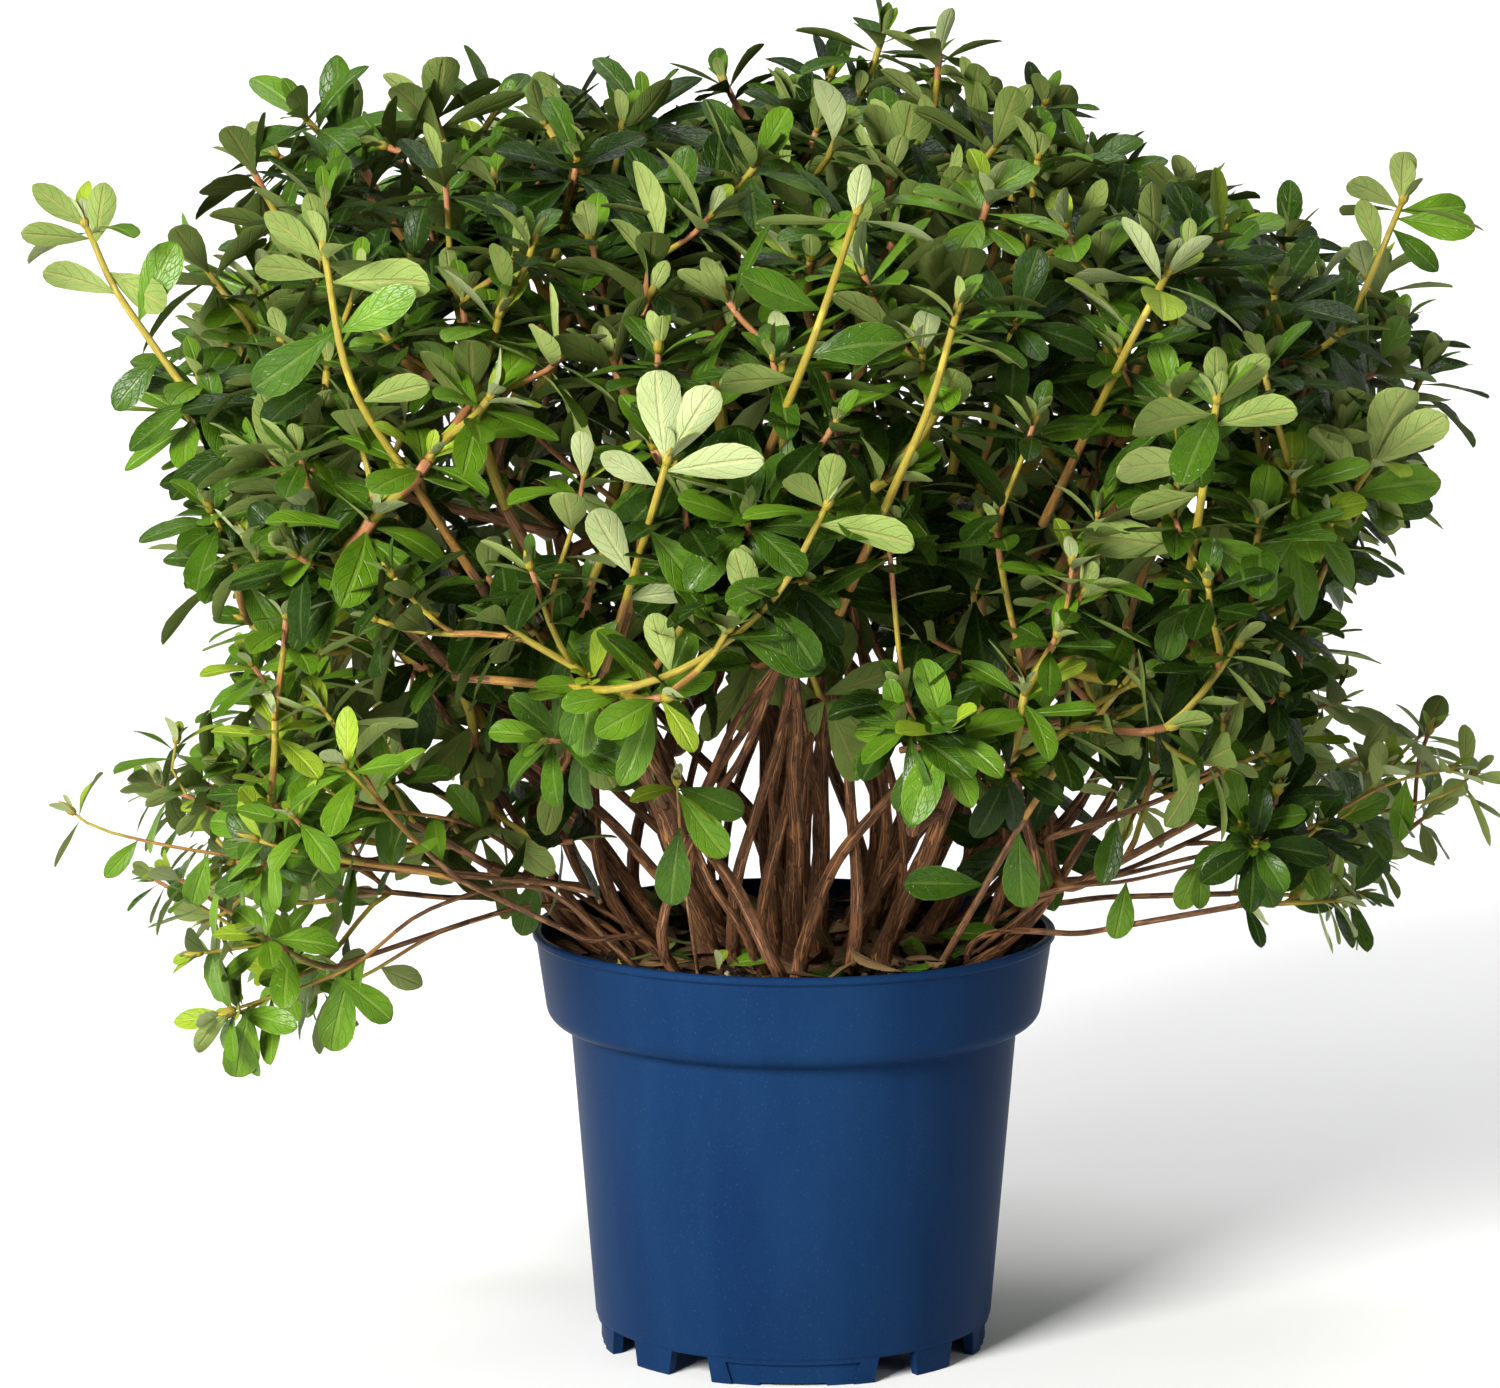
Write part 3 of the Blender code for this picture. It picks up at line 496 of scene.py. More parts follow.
def leaf_points(grid, width, fold, cup, bend, wave, sway, obovate):
    """The points of a leaf of unit length: at each station its upper side, then one point underneath."""
    along, across = grid
    half = width / 2 * (
        obovate * np.interp(along, OUTLINE_STOPS, OBOVATE)
        + (1 - obovate) * np.interp(along, OUTLINE_STOPS, ELLIPTIC)
    )
    turn = bend * along
    middle = np.stack([np.sin(turn) / bend, sway * along**2, -(1 - np.cos(turn)) / bend], axis=1)
    normal = np.stack([np.sin(turn), np.zeros_like(turn), np.cos(turn)], axis=1)
    rows = []
    for side in across:
        lift = half * (fold * abs(side) - cup * side**2) + wave * half * side * np.sin(WAVINESS * along)
        rows.append(middle + np.outer(side * half, (0, 1, 0)) + normal * lift[:, None])
    thick = LEAF_THICKNESS * np.sin(np.pi * (THICK_FROM + THICK_SPAN * along))
    rows.append(middle - normal * thick[:, None])
    return np.stack(rows, axis=1).reshape(-1, 3)


def leaf_faces(grid):
    """The quads of the upper side and of the underside, and the two ends."""
    along, across = grid
    wide = len(across)
    step = wide + 1
    upper, under = [], []
    for row in range(len(along) - 1):
        here, there = row * step, (row + 1) * step
        for column in range(wide - 1):
            upper.append((here + column, there + column, there + column + 1, here + column + 1))
        under.append((here, here + wide, there + wide, there))
        under.append((here + wide, here + wide - 1, there + wide - 1, there + wide))
    last = (len(along) - 1) * step
    ends = [tuple(range(step)), tuple(last + column for column in reversed(range(step)))]
    return np.array(upper), np.array(under), np.array(ends)


def leaf_uv(grid):
    along, across = grid
    return np.array([(0.5 + 0.5 * side, share) for share in along for side in (*across, 0.0)])


def leaf_shapes(grid):
    draw = random.Random(11)
    shapes = []
    for _ in range(VARIANTS):
        blade = [draw.uniform(*span) for span in BLADES]
        bend = draw.choice(BENDS[0]) * draw.uniform(*BENDS[1])
        shapes.append(leaf_points(grid, *blade, bend, *[draw.uniform(*span) for span in MARGINS]))
    return np.array(shapes)


class Leaves:
    """Leaves of one outline detail, gathered until they are joined into one mesh."""

    def __init__(self, grid):
        self.grid = grid
        self.rows = []

    def add(self, foot, along, normal, length, tint):
        normal = (normal - along * along.dot(normal)).normalized()
        side = normal.cross(along)
        self.rows.append((foot, along, side, normal, length, tint))

    def arrays(self, shapes, draw):
        upper, under, ends = leaf_faces(self.grid)
        count = len(self.rows)
        size = shapes.shape[1]
        kinds = np.array([draw.randrange(VARIANTS) for _ in range(count)])
        turns = np.array([[row[1], row[2], row[3]] for row in self.rows])
        lengths = np.array([row[4] for row in self.rows])
        feet = np.array([row[0] for row in self.rows])
        tints = np.array([row[5] for row in self.rows])
        points = np.einsum("nki,nij->nkj", shapes[kinds] * lengths[:, None, None], turns) + feet[:, None, :]
        start = (np.arange(count) * size)[:, None, None]
        quads = np.concatenate([(upper + start).reshape(-1, 4), (under + start).reshape(-1, 4)])
        over, back = np.repeat(tints, len(upper)), np.repeat(tints + len(TINTS), len(under))
        caps = (ends + start).reshape(-1, ends.shape[1])
        uv = np.tile(leaf_uv(self.grid), (count, 1))
        wide = len(self.grid[1])
        margins = np.zeros((len(self.grid[0]), wide + 1), bool)
        margins[:, (0, wide - 1)] = True
        marks = np.tile(margins.ravel(), count)
        cap_tints = np.repeat(tints, len(ends))
        return points.reshape(-1, 3), quads, np.concatenate([over, back]), caps, cap_tints, uv, marks


FINE_SHAPES = leaf_shapes(FINE)
PLAIN_SHAPES = leaf_shapes(PLAIN)


def leaf_piece(name, kinds, materials, seed):
    """Joins fine leaves, and any plain ones, into one piece, with a crisp edge between their two sides."""
    draw = random.Random(seed)
    blocks = [leaves.arrays(shapes, draw) for leaves, shapes in zip(kinds, (FINE_SHAPES, PLAIN_SHAPES))]
    starts = np.cumsum([0] + [len(block[0]) for block in blocks[:-1]])
    points, uv, marks = (np.concatenate([block[part] for block in blocks]) for part in (0, 5, 6))
    quads = np.concatenate([block[1] + start for block, start in zip(blocks, starts)])
    faces = [quads] + [block[3] + start for block, start in zip(blocks, starts)]
    slots = [np.concatenate([block[2] for block in blocks])] + [block[4] for block in blocks]
    piece = mesh_piece(name, points, faces, slots, materials, uv, LEAF_MAP)
    ends = np.zeros(len(piece.data.edges) * 2, np.int32)
    piece.data.edges.foreach_get("vertices", ends)
    sharp = piece.data.attributes.new("sharp_edge", "BOOLEAN", "EDGE")
    sharp.data.foreach_set("value", marks[ends.reshape(-1, 2)].all(axis=1))
    return piece


# ---- tubes


class Tubes:
    """Round tapering tubes, gathered until they are joined into one mesh."""

    def __init__(self):
        self.points = []
        self.quads = []
        self.slots = []
        self.uv = []
        self.caps = {}

    def add(self, path, radii, sides, slots):
        """A tube along the path. slots has a material number for each stretch between two points."""
        start = len(self.points)
        heading = (path[1] - path[0]).normalized()
        across = heading.orthogonal().normalized()
        run = 0.0
        for number, (point, radius) in enumerate(zip(path, radii)):
            if number:
                run += (point - path[number - 1]).length
                ahead = path[min(number + 1, len(path) - 1)] - path[number - 1]
                turned = ahead.normalized()
                across = heading.rotation_difference(turned) @ across
                heading = turned
                across = (across - heading * across.dot(heading)).normalized()
            over = heading.cross(across)
            for side in range(sides):
                angle = 2 * math.pi * side / sides
                self.points.append(point + (across * math.cos(angle) + over * math.sin(angle)) * radius)
                self.uv.append((min(side, sides - side) * 2 * math.pi / sides * radius, run))
        for ring, slot in enumerate(slots):
            for side in range(sides):
                low = start + ring * sides
                other = (side + 1) % sides
                self.quads.append((low + side, low + other, low + sides + other, low + sides + side))
                self.slots.append(slot)
        ends = self.caps.setdefault(sides, [])
        last = start + (len(path) - 1) * sides
        ends.append((tuple(start + side for side in reversed(range(sides))), slots[0]))
        ends.append((tuple(last + side for side in range(sides)), slots[-1]))

    def piece(self, name, materials, node_slot):
        faces = [np.array(self.quads)] + [np.array([cap[0] for cap in caps]) for caps in self.caps.values()]
        slots = [np.array(self.slots)] + [np.array([cap[1] for cap in caps]) for caps in self.caps.values()]
        points = np.array(self.points)
        return mesh_piece(name, points, faces, slots, materials, self.uv, GRAIN_MAP)


# ---- the crown's space and its limbs


def polar(azimuth, angle):
    """The unit vector at this azimuth and this angle from the vertical, in degrees."""
    turn = math.radians(azimuth)
    tilt = math.radians(angle)
    return Vector((math.sin(tilt) * math.cos(turn), math.sin(tilt) * math.sin(turn), math.cos(tilt)))


def crown_reach(direction):
    """How far the crown reaches from the heart in this direction."""
    low, high = 0.0, 1.0
    for _ in range(REACH_STEPS):
        middle = (low + high) / 2
        point = HEART + direction * middle
        inside = (
            abs(point.x / CROWN_HALF_WIDTH) ** CROWN_SQUARENESS
            + abs(point.y / CROWN_HALF_DEPTH) ** CROWN_SQUARENESS
            + abs((point.z - CROWN_MIDDLE) / CROWN_HALF_HEIGHT) ** CROWN_SQUARENESS
        ) < 1.0
        low, high = (middle, high) if inside else (low, middle)
    angle = math.degrees(math.acos(max(-1.0, min(1.0, direction.z))))
    pinch = WAIST_PINCH * bell(angle - WAIST_ANGLE, WAIST_SPREAD)
    return low * (1.0 - pinch + sum_of_bells(direction, LONG_SHOOTS))


def sum_of_bells(direction, rows):
    """The sum of the rows' shares, each one faded by how far the direction is from the row's own."""
    total = 0.0
    for azimuth, angle, share, spread in rows:
        total += share * bell(math.degrees(direction.angle(polar(azimuth, angle))), spread)
    return total


def underside(direction):
    """The widest angle from the vertical that the crown comes down to at this azimuth."""
    out = Vector((direction.x, direction.y, 0))
    off_droop = math.degrees(out.angle(polar(DROOP_AZIMUTH, 90), math.pi))
    lift = UNDERSIDE_LIFT * (direction.y / max(out.length, GAP)) ** 2
    return UNDERSIDE_ANGLE - lift + DROOP_DIP * bell(off_droop, DROOP_SPREAD)


class Mass:
    """One mass of foliage: its name, its axis from the heart, and where its limb enters it."""

    def __init__(self, tier, number, axis, carrier, thickness, solid_leaf, leaf_length):
        self.tier = tier
        self.name = f"foliage_{tier}_{number}"
        self.carrier = carrier
        self.thickness = thickness
        self.leaf_length = leaf_length
        self.axis = axis
        self.reach = crown_reach(self.axis)
        self.tip = HEART + self.axis * (self.reach - TIP_INSET * solid_leaf)
        self.entry = HEART + self.axis * self.reach * ENTRY_SHARE + Vector((0, 0, -SAG))
        self.entry.z = max(self.entry.z, POT_HEIGHT + RIM_CLEARANCE)
        self.heading = (self.tip - self.entry).normalized()
        self.tips = []


def lay_out_masses():
    masses = []
    for tier, angle, azimuths, *rest in TIERS:
        for number, azimuth in enumerate(azimuths):
            lift = 1.0 - TIER_LIFT * math.sin(math.radians(azimuth)) ** 2
            masses.append(Mass(tier, number + 1, polar(azimuth, angle * lift), *rest))
    return masses


def bezier(start, start_pull, end_pull, end, steps):
    """The points of a curve between two ends, drawn to its two handles."""
    line = []
    for step in range(steps + 1):
        share = step / steps
        rest = 1.0 - share
        line.append(
            start * rest**3
            + start_pull * 3 * rest**2 * share
            + end_pull * 3 * rest * share**2
            + end * share**3
        )
    return line


def limb_path(start, start_heading, mass, steps):
    """A smooth line to the mass's entry, the last bit of it straight."""
    end = mass.entry - mass.heading * LIMB_END
    pull = (end - start).length * LIMB_PULL
    handles = (start + start_heading * pull, end - mass.heading * pull)
    return bezier(start, *handles, end, steps) + [mass.entry]


def stem_line(mass, steps):
    out = Vector((mass.axis.x, mass.axis.y, 0)).normalized()
    foot = out * RIM_RADIUS * FOOT_SHARES[mass.tier] + Vector((0, 0, SOIL_LEVEL + GAP))
    lean = (mass.axis + Vector((0, 0, STEM_RISE + LOW_RISE.get(mass.tier, 0.0)))).normalized()
    above = foot + Vector((0, 0, FLARE_HEIGHT))
    return [foot] + limb_path(above, lean, mass, steps)


def bough_line(mass, stems, steps):
    """The line of a bough from inside the stem of the tier above that is nearest to it."""
    parent = max(stems, key=lambda other: other.axis.dot(mass.axis))
    coarse = stem_line(parent, LIMB_POINTS - 2)
    fork = coarse[FORK_POINT]
    along = (coarse[FORK_POINT + 1] - fork).normalized()
    aim = (mass.entry - fork).normalized()
    side = (aim - along * aim.dot(along)).normalized()
    angle = math.radians(FORK_ANGLE_FROM_STEM)
    return limb_path(fork, along * math.cos(angle) + side * math.sin(angle), mass, steps)


# ---- old wood

LIMB_STEPS = 24
BARK_SIDES = 24
BOUGH_SIDES = 14
STEM_FLARE = 0.32
BOUGH_TIP_SHARE = 0.85
SLIM = {"top": 0.7, "upper": 0.72, "middle": 0.76, "lower": 0.72, "skirt": 0.36, "droop": 0.36}
BARK_STEP = 0.003
BOW = 0.0035
WANDER_SCALE = 22
TAPER = 0.8
KNOT_SHARE = 0.1
KNOT_SCALE = 28
FLARE_REACH = 0.007
RIDGES_ROUND = 2.8
RIDGES_ALONG = 34
RIDGE_DEPTH = 0.13
RIDGE_SPLIT = 2.2


def smooth_line(points, step):
    """The line through the points again, at even steps."""
    runs = distances(points)
    at = np.linspace(0, runs[-1], max(4, int(runs[-1] / step)) + 1)
    coordinates = np.array([tuple(point) for point in points])
    rows = np.stack([np.interp(at, runs, coordinates[:, k]) for k in range(3)], axis=1)
    return [Vector(row) for row in rows]


SWAY_SEEDS = (3.1, 1.7)
KNOT_SEED = 5.3
FINE_STRIPS = (0.5, 2.3)  # weight, scale
SEED_STEP = 2.7


def add_barked_limb(tubes, line, thick, thin, sides, seed, flare):
    """A limb whose skin is split lengthwise into strips, with a swollen foot where it stands in the soil."""
    path = smooth_line(line, BARK_STEP)
    last = len(path) - 1
    sway = Vector((seed * SWAY_SEEDS[0], seed * SWAY_SEEDS[1], 0.0))
    radii = []
    for number, point in enumerate(path):
        share = number / last
        bow = math.sin(math.pi * share) * BOW
        path[number] = point + noise.noise_vector(point * WANDER_SCALE + sway) * bow
        radius = thick + (thin - thick) * share**TAPER
        run = number * BARK_STEP
        knots = 1.0 + KNOT_SHARE * noise.noise(Vector((seed * KNOT_SEED, run * KNOT_SCALE, 0.0)))
        radii.append(radius * knots * (1.0 + flare * math.exp(-run / FLARE_REACH)))
    start = len(tubes.points)
    tubes.add(path, radii, sides, [BARKY] * last)
    for number, center in enumerate(path):
        for side in range(sides):
            index = start + number * sides + side
            angle = 2 * math.pi * side / sides
            round_it = (math.cos(angle) * RIDGES_ROUND + seed, math.sin(angle) * RIDGES_ROUND)
            spot = Vector((*round_it, number * BARK_STEP * RIDGES_ALONG))
            strip = noise.noise(spot) + FINE_STRIPS[0] * noise.noise(spot * FINE_STRIPS[1])
            arm = tubes.points[index] - center
            tubes.points[index] = center + arm * (1.0 + RIDGE_DEPTH * (1.0 - RIDGE_SPLIT * abs(strip)))


def grow_old_wood(masses):
    """The bark of stems and boughs, a piece for each tier."""
    stems = [mass for mass in masses if mass.tier == PARENT_TIER]
    for tier, slim in SLIM.items():
        tubes = Tubes()
        members = [mass for mass in masses if mass.tier == tier]
        for number, mass in enumerate(members):
            seed = 1.0 + number * SEED_STEP + len(tier)
            if mass.carrier == STEM:
                line = stem_line(mass, LIMB_STEPS)
                rest = (mass.thickness * slim, LIMB_TIP_RADIUS * slim, BARK_SIDES, seed, STEM_FLARE)
            else:
                line = bough_line(mass, stems, LIMB_STEPS)
                thick = mass.thickness * BOUGH_SHARE * slim
                rest = (thick, LIMB_TIP_RADIUS * BOUGH_TIP_SHARE, BOUGH_SIDES, seed, 0.0)
            add_barked_limb(tubes, line, *rest)
        piece = tubes.piece(f"bark_{tier}", (BARK,), "bark")
        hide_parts(*[mass.name.replace("foliage", mass.carrier) for mass in members])


CANES = 42
OFFSHOOTS = 22
CANE_SIDES = 10
CANE_TIP = 0.0014
CANE_FEET = (0.012, 0.085)
CANE_RADII = (0.0016, 0.0038)
CANE_ENDS = (0.005, 0.05)
CANE_SPREAD = 0.8
CANE_DEPTH = 0.003
CANE_SPLAY = (0.5, 5.0)
CANE_RISE = 0.12
CANE_PULL = 0.4
CANE_STEPS = 14
CANE_FLARE = 0.25
CANE_SEED = 70.0
OFFSHOOT_TIP = 0.0013
OFFSHOOT_RADII = (0.0018, 0.003)
OFFSHOOT_ENDS = (0.0, 0.04)
OFFSHOOT_FORKS = (4, 12)
OFFSHOOT_TURN = 0.5
OFFSHOOT_PULL = 0.35
OFFSHOOT_STEPS = 12
OFFSHOOT_SEED = 130.0
NEARNESS_SHAKE = 0.12


def grow_canes(masses):
    """Thin canes that rise from the soil or fork from the stems and join the twigs inside the crown."""
    tubes = Tubes()
    draw = random.Random(41)
    chosen = [mass for mass in masses if mass.tier in CORE_TIERS]
    for number in range(CANES):
        mass = chosen[number % len(chosen)]
        turn = math.atan2(mass.axis.y, mass.axis.x) + draw.uniform(-CANE_SPREAD, CANE_SPREAD)
        out = draw.uniform(*CANE_FEET)
        foot = Vector((math.cos(turn) * out, math.sin(turn) * out, SOIL_LEVEL - CANE_DEPTH))
        end = mass.entry + mass.heading * draw.uniform(*CANE_ENDS)
        splay = [draw.uniform(*CANE_SPLAY) for _ in range(2)]
        lean = Vector((foot.x * splay[0], foot.y * splay[1], CANE_RISE)).normalized()
        pull = (end - foot).length * CANE_PULL
        line = bezier(foot, foot + lean * pull, end - mass.heading * pull, end, CANE_STEPS)
        thick = draw.uniform(*CANE_RADII)
        add_barked_limb(tubes, line, thick, CANE_TIP, CANE_SIDES, CANE_SEED + number, CANE_FLARE)
    parents = [mass for mass in chosen if mass.tier != "top"]
    for number in range(OFFSHOOTS):
        parent = parents[number % len(parents)]
        line = stem_line(parent, LIMB_STEPS)
        fork = draw.randrange(*OFFSHOOT_FORKS)
        start, ahead = line[fork], (line[fork + 1] - line[fork]).normalized()
        nearness = []
        for other in chosen:
            shake = draw.uniform(0.0, NEARNESS_SHAKE)
            nearness.append(other.axis.dot(parent.axis) * (other is not parent) + shake)
        mass = chosen[nearness.index(max(nearness))]
        end = mass.entry + mass.heading * draw.uniform(*OFFSHOOT_ENDS)
        pull = (end - start).length * OFFSHOOT_PULL
        leave = (ahead + (end - start).normalized() * OFFSHOOT_TURN).normalized()
        path = bezier(start, start + leave * pull, end - mass.heading * pull, end, OFFSHOOT_STEPS)
        thick = draw.uniform(*OFFSHOOT_RADII)
        add_barked_limb(tubes, path, thick, OFFSHOOT_TIP, CANE_SIDES, OFFSHOOT_SEED + number, 0.0)
    tubes.piece("thin_canes", (BARK,), "bark")


# ---- sprays

TWIG_SIDES = 6
TWIG_STEP = 0.01
OUTER_SHELL = (1080, (0.0, 0.1), 5, 3.0)  # count, depths, seed, rise of the underside
INNER_SHELL = (460, (0.16, 0.36), 6, 20.0)
CORE_SHELL = (380, (0.34, 0.56), 7, 26.0)
FRONT_FALL = 7.0
TWIG_RADII = {  # with one whorl to carry, and at most
    "top": (0.0016, 0.0031),
    "upper": (0.0016, 0.0031),
    "middle": (0.0014, 0.0029),
    "lower": (0.0011, 0.0018),
    "skirt": (0.001, 0.0013),
    "droop": (0.0009, 0.0012),
}
LOAD_POWER = 0.33
SHORTEST_SHOOT = 0.028
LEAST_LEAN = 0.4
LEAN_COST = 1.3
LOWEST_TIP = -0.17
FULL_REACH = 0.4
SHOOT_INSET = 0.75
LEADER_SHARE = 0.55
HEIGHT_SHAKE = 0.012
TURN_SHAKE = 0.06
LIGHTWARD = (0.22, 0.6, 1.1)  # low masses, the sides, the top
TOPSIDE = 0.35
WISH_WEIGHT = 0.55
TIP_SHAKE = 0.12
FORK_STRAIGHTNESS = 0.8
FORK_PULL = 0.3
TIP_PULL = 0.36
FORK_SWELL = 1.05
SLACK_SIDES = (  # azimuth, angle from the vertical, share of the reach that the whorls hold back, spread
    (195, 46, 0.14, 10),
    (180, 55, 0.17, 9),
    (158, 60, 0.07, 10),
    (203, 62, 0.06, 9),
    (180, 72, 0.04, 7),
    (185, 88, 0.14, 8),
    (330, 59, 0.15, 9),
    (350, 57, 0.2, 9),
    (10, 58, 0.18, 9),
    (30, 59, 0.15, 9),
    (0, 38, 0.05, 13),
    (328, 29, 0.04, 10),
    (30, 29, 0.04, 10),
    (0, 84, 0.12, 9),
    (335, 80, 0.08, 9),
    (60, 2, 0.05, 16),
)
FULLNESS = {"top": 1.0, "upper": 1.0, "middle": 1.0, "lower": 0.78, "skirt": 0.62, "droop": 0.7}


def spray_reach(direction):
    """How far the whorls come, a little inside the crown's reach where its sides are slack."""
    return crown_reach(direction) * (1.0 - sum_of_bells(direction, SLACK_SIDES))


def crown_tips(masses, count, depths, seed, rise):
    """Spreads shoot tips over a shell of the crown, each one given to the mass whose axis is nearest."""
    draw = random.Random(seed)
    for number in range(count):
        height = 1.0 - (number + 0.5) / count * (1.0 - LOWEST_TIP)
        height += draw.uniform(-HEIGHT_SHAKE, HEIGHT_SHAKE)
        height = max(-1.0, min(1.0, height))
        turn = number * GOLDEN_ANGLE + draw.uniform(-TURN_SHAKE, TURN_SHAKE)
        flat = math.sqrt(1.0 - height * height)
        direction = Vector((flat * math.cos(turn), flat * math.sin(turn), height))
        widest = underside(direction) - rise + FRONT_FALL * (direction.y / max(flat, GAP)) ** 2
        if math.degrees(math.acos(height)) > widest:
            continue
        reach = spray_reach(direction)
        mass = max(masses, key=lambda other: other.axis.dot(direction))
        if draw.random() > (reach / FULL_REACH) ** 2 * FULLNESS[mass.tier]:
            continue
        depth = draw.uniform(*depths)
        mass.tips.append(HEART + direction * (reach * (1.0 - depth) - SHOOT_INSET * mass.leaf_length))


class Spray:
    """The twigs of one mass: branches that fork from each other, and the load that each point carries."""

    def __init__(self, mass, seed):
        self.mass = mass
        self.draw = random.Random(seed)
        self.points = []
        self.headings = []
        self.parents = []
        self.loads = []

    def add_run(self, path, parent):
        """Adds a path from a parent point, and returns the numbers of its points, parent first."""
        run = [parent] if parent is not None else []
        for point in path:
            before = self.points[run[-1]] if run else point - self.mass.heading
            self.points.append(point)
            self.headings.append((point - before).normalized())
            self.parents.append(run[-1] if run else None)
            self.loads.append(0)
            run.append(len(self.points) - 1)
        return run

    def carry(self, number):
        while number is not None:
            self.loads[number] += 1
            number = self.parents[number]

    def wish(self, tip):
        """The way a shoot wants to point at its tip: outwards, and turned up to the light."""
        out = (tip - HEART).normalized()
        kind = 0 if self.mass.tier in LOW_RISE else 2 if out.z > TOPSIDE else 1
        return (out + UP * LIGHTWARD[kind]).normalized()

    def best_fork(self, tip):
        """The point from which a nearly straight shoot to this tip is shortest."""
        best, choice = math.inf, 0
        wish = self.wish(tip)
        for number, (point, heading) in enumerate(zip(self.points, self.headings)):
            arm = tip - point
            far = arm.length
            if far < SHORTEST_SHOOT or arm.dot(heading) / far < LEAST_LEAN:
                continue
            cost = far * (1.0 + (1.0 - arm.dot(heading) / far) + LEAN_COST * (1.0 - arm.dot(wish) / far))
            if cost < best:
                best, choice = cost, number
        return choice

    def grow(self):
        """Grows a leader, then a branch to each tip, nearest first. It returns their runs in that order."""
        mass = self.mass
        leader = (mass.tip - mass.entry) * LEADER_SHARE
        count = max(3, int(leader.length / TWIG_STEP))
        runs = [self.add_run([mass.entry + leader * (step / count) for step in range(count + 1)], None)]
        for tip in sorted(mass.tips, key=lambda point: (point - mass.entry).length):
            fork = self.best_fork(tip)
            start = self.points[fork]
            far = (tip - start).length
            ahead = (tip - start) / far
            heading = (self.wish(tip) * WISH_WEIGHT + ahead + jitter(self.draw, TIP_SHAKE)).normalized()
            leave = (self.headings[fork] * FORK_STRAIGHTNESS + ahead).normalized()
            handles = (start + leave * far * FORK_PULL, tip - heading * far * TIP_PULL)
            line = bezier(start, *handles, tip, max(4, int(far / TWIG_STEP)))
            runs.append(self.add_run(line[1:], fork))
            self.carry(runs[-1][-1])
        return runs

    def radius(self, number):
        thin, most = TWIG_RADII[self.mass.tier]
        return min(most, thin * max(1, self.loads[number]) ** LOAD_POWER)


def pick(draw, shares):
    """A number picked by its share."""
    spot = draw.random() * sum(shares)
    for number, share in enumerate(shares):
        spot -= share
        if spot < 0:
            return number
    return len(shares) - 1


TINT_SHARES = {
    "top": (0.72, 0.24, 0.04, 0.0),
    "upper": (0.6, 0.32, 0.08, 0.0),
    "middle": (0.4, 0.4, 0.19, 0.01),
    "lower": (0.04, 0.32, 0.62, 0.02),
    "skirt": (0.0, 0.18, 0.8, 0.02),
    "droop": (0.0, 0.14, 0.8, 0.06),
    # the far row, lighter than the middle row that the low masses in front take: painted light and shade by
    # side
    "far": (0.2, 0.38, 0.4, 0.02),
}
LENGTH_SHAKE = (0.86, 1.16)
GREEN_LENGTHS = (0.02, 0.06)
RED_LENGTHS = (0.0, 0.012, 0.018)
RIPE_LENGTHS = (0.015, 0.06)
BUD_SIZES = (0.006, 0.01)
# beyond the first side the low masses keep their own lighter tints, beyond the second they take the far row:
# painted light and shade by side
PAINTED_LIGHT_SIDE = -0.45
FAR_SIDE = 0.45
BOX_LOW, BOX_HIGH = (Vector(corner) for corner in CAD_BOX)
BOX_SHARE = 0.025
LOW_LIMIT = BOX_LOW - (BOX_HIGH - BOX_LOW) * BOX_SHARE - Vector((0.007, 0.007, 0.0))
HIGH_LIMIT = BOX_HIGH + (BOX_HIGH - BOX_LOW) * BOX_SHARE + Vector((0.007, 0.007, 0.007))
OVER_RIM = 0.004
PAST_RIM = 0.006
BELLY = 0.6
FACE_LIFT = 0.35
LEAF_DROP = 0.06
DROP_SHAKE = 0.1
TIPWARD = 0.8
FACE_SHAKE = 0.18
SEEDLINGS = 3
SEEDLING_SPREAD = (8, 24)
SEEDLING_SIZE = (0.3, 0.52)
TIGHTEST = 20
OPENING = 80
OPENING_POWER = 0.6
OPENING_SHAKE = 8
SMALLEST = 0.62
GROWTH = 0.42
SIZE_SHAKE = (0.88, 1.1)
FIRST_LEAF = (0.008, 0.013)
SIDE_SPREAD = (52, 82)
SIDE_SIZE = (0.72, 1.05)
SIDE_LIFT = 0.5
SIDE_DROP = 0.12
WHORL_STEP = 0.0011
INNER_LEAVES = 5
INNER_LEAFY = (0.015, 0.035)
OUTER_SPACING = (0.011, 0.018)
INNER_SPACING = (0.012, 0.018)
BUD_RINGS = ((0.0, 0.8), (0.25, 1.25), (0.55, 1.05), (0.85, 0.45), (1.0, 0.08))  # how far along, how wide
BUD_WIDTH = 0.2


def has_room(foot, end):
    """Whether a leaf stays inside the plant's box and off the pot."""
    for point in (foot, foot.lerp(end, BELLY), end):
        if any(not low < value < high for low, value, high in zip(LOW_LIMIT, point, HIGH_LIMIT)):
            return False
        if point.z < POT_HEIGHT + OVER_RIM and math.hypot(point.x, point.y) < RIM_RADIUS + PAST_RIM:
            return False
    return True


def add_leaf(leaves, draw, foot, heading, spin, spread, length, tint, lift=FACE_LIFT, drop=LEAF_DROP):
    """A leaf that leaves a shoot at these angles round it and from it, its face to the tip and the light."""
    across = heading.orthogonal().normalized()
    out = Matrix.Rotation(spin, 3, heading) @ across
    along = heading * math.cos(spread) + out * math.sin(spread)
    along = (along - UP * drop + UP * DROP_SHAKE * draw.random()).normalized()
    normal = heading * TIPWARD + UP * lift + jitter(draw, FACE_SHAKE)
    if has_room(foot, foot + along * length):
        leaves.add(foot, along, normal, length, tint)


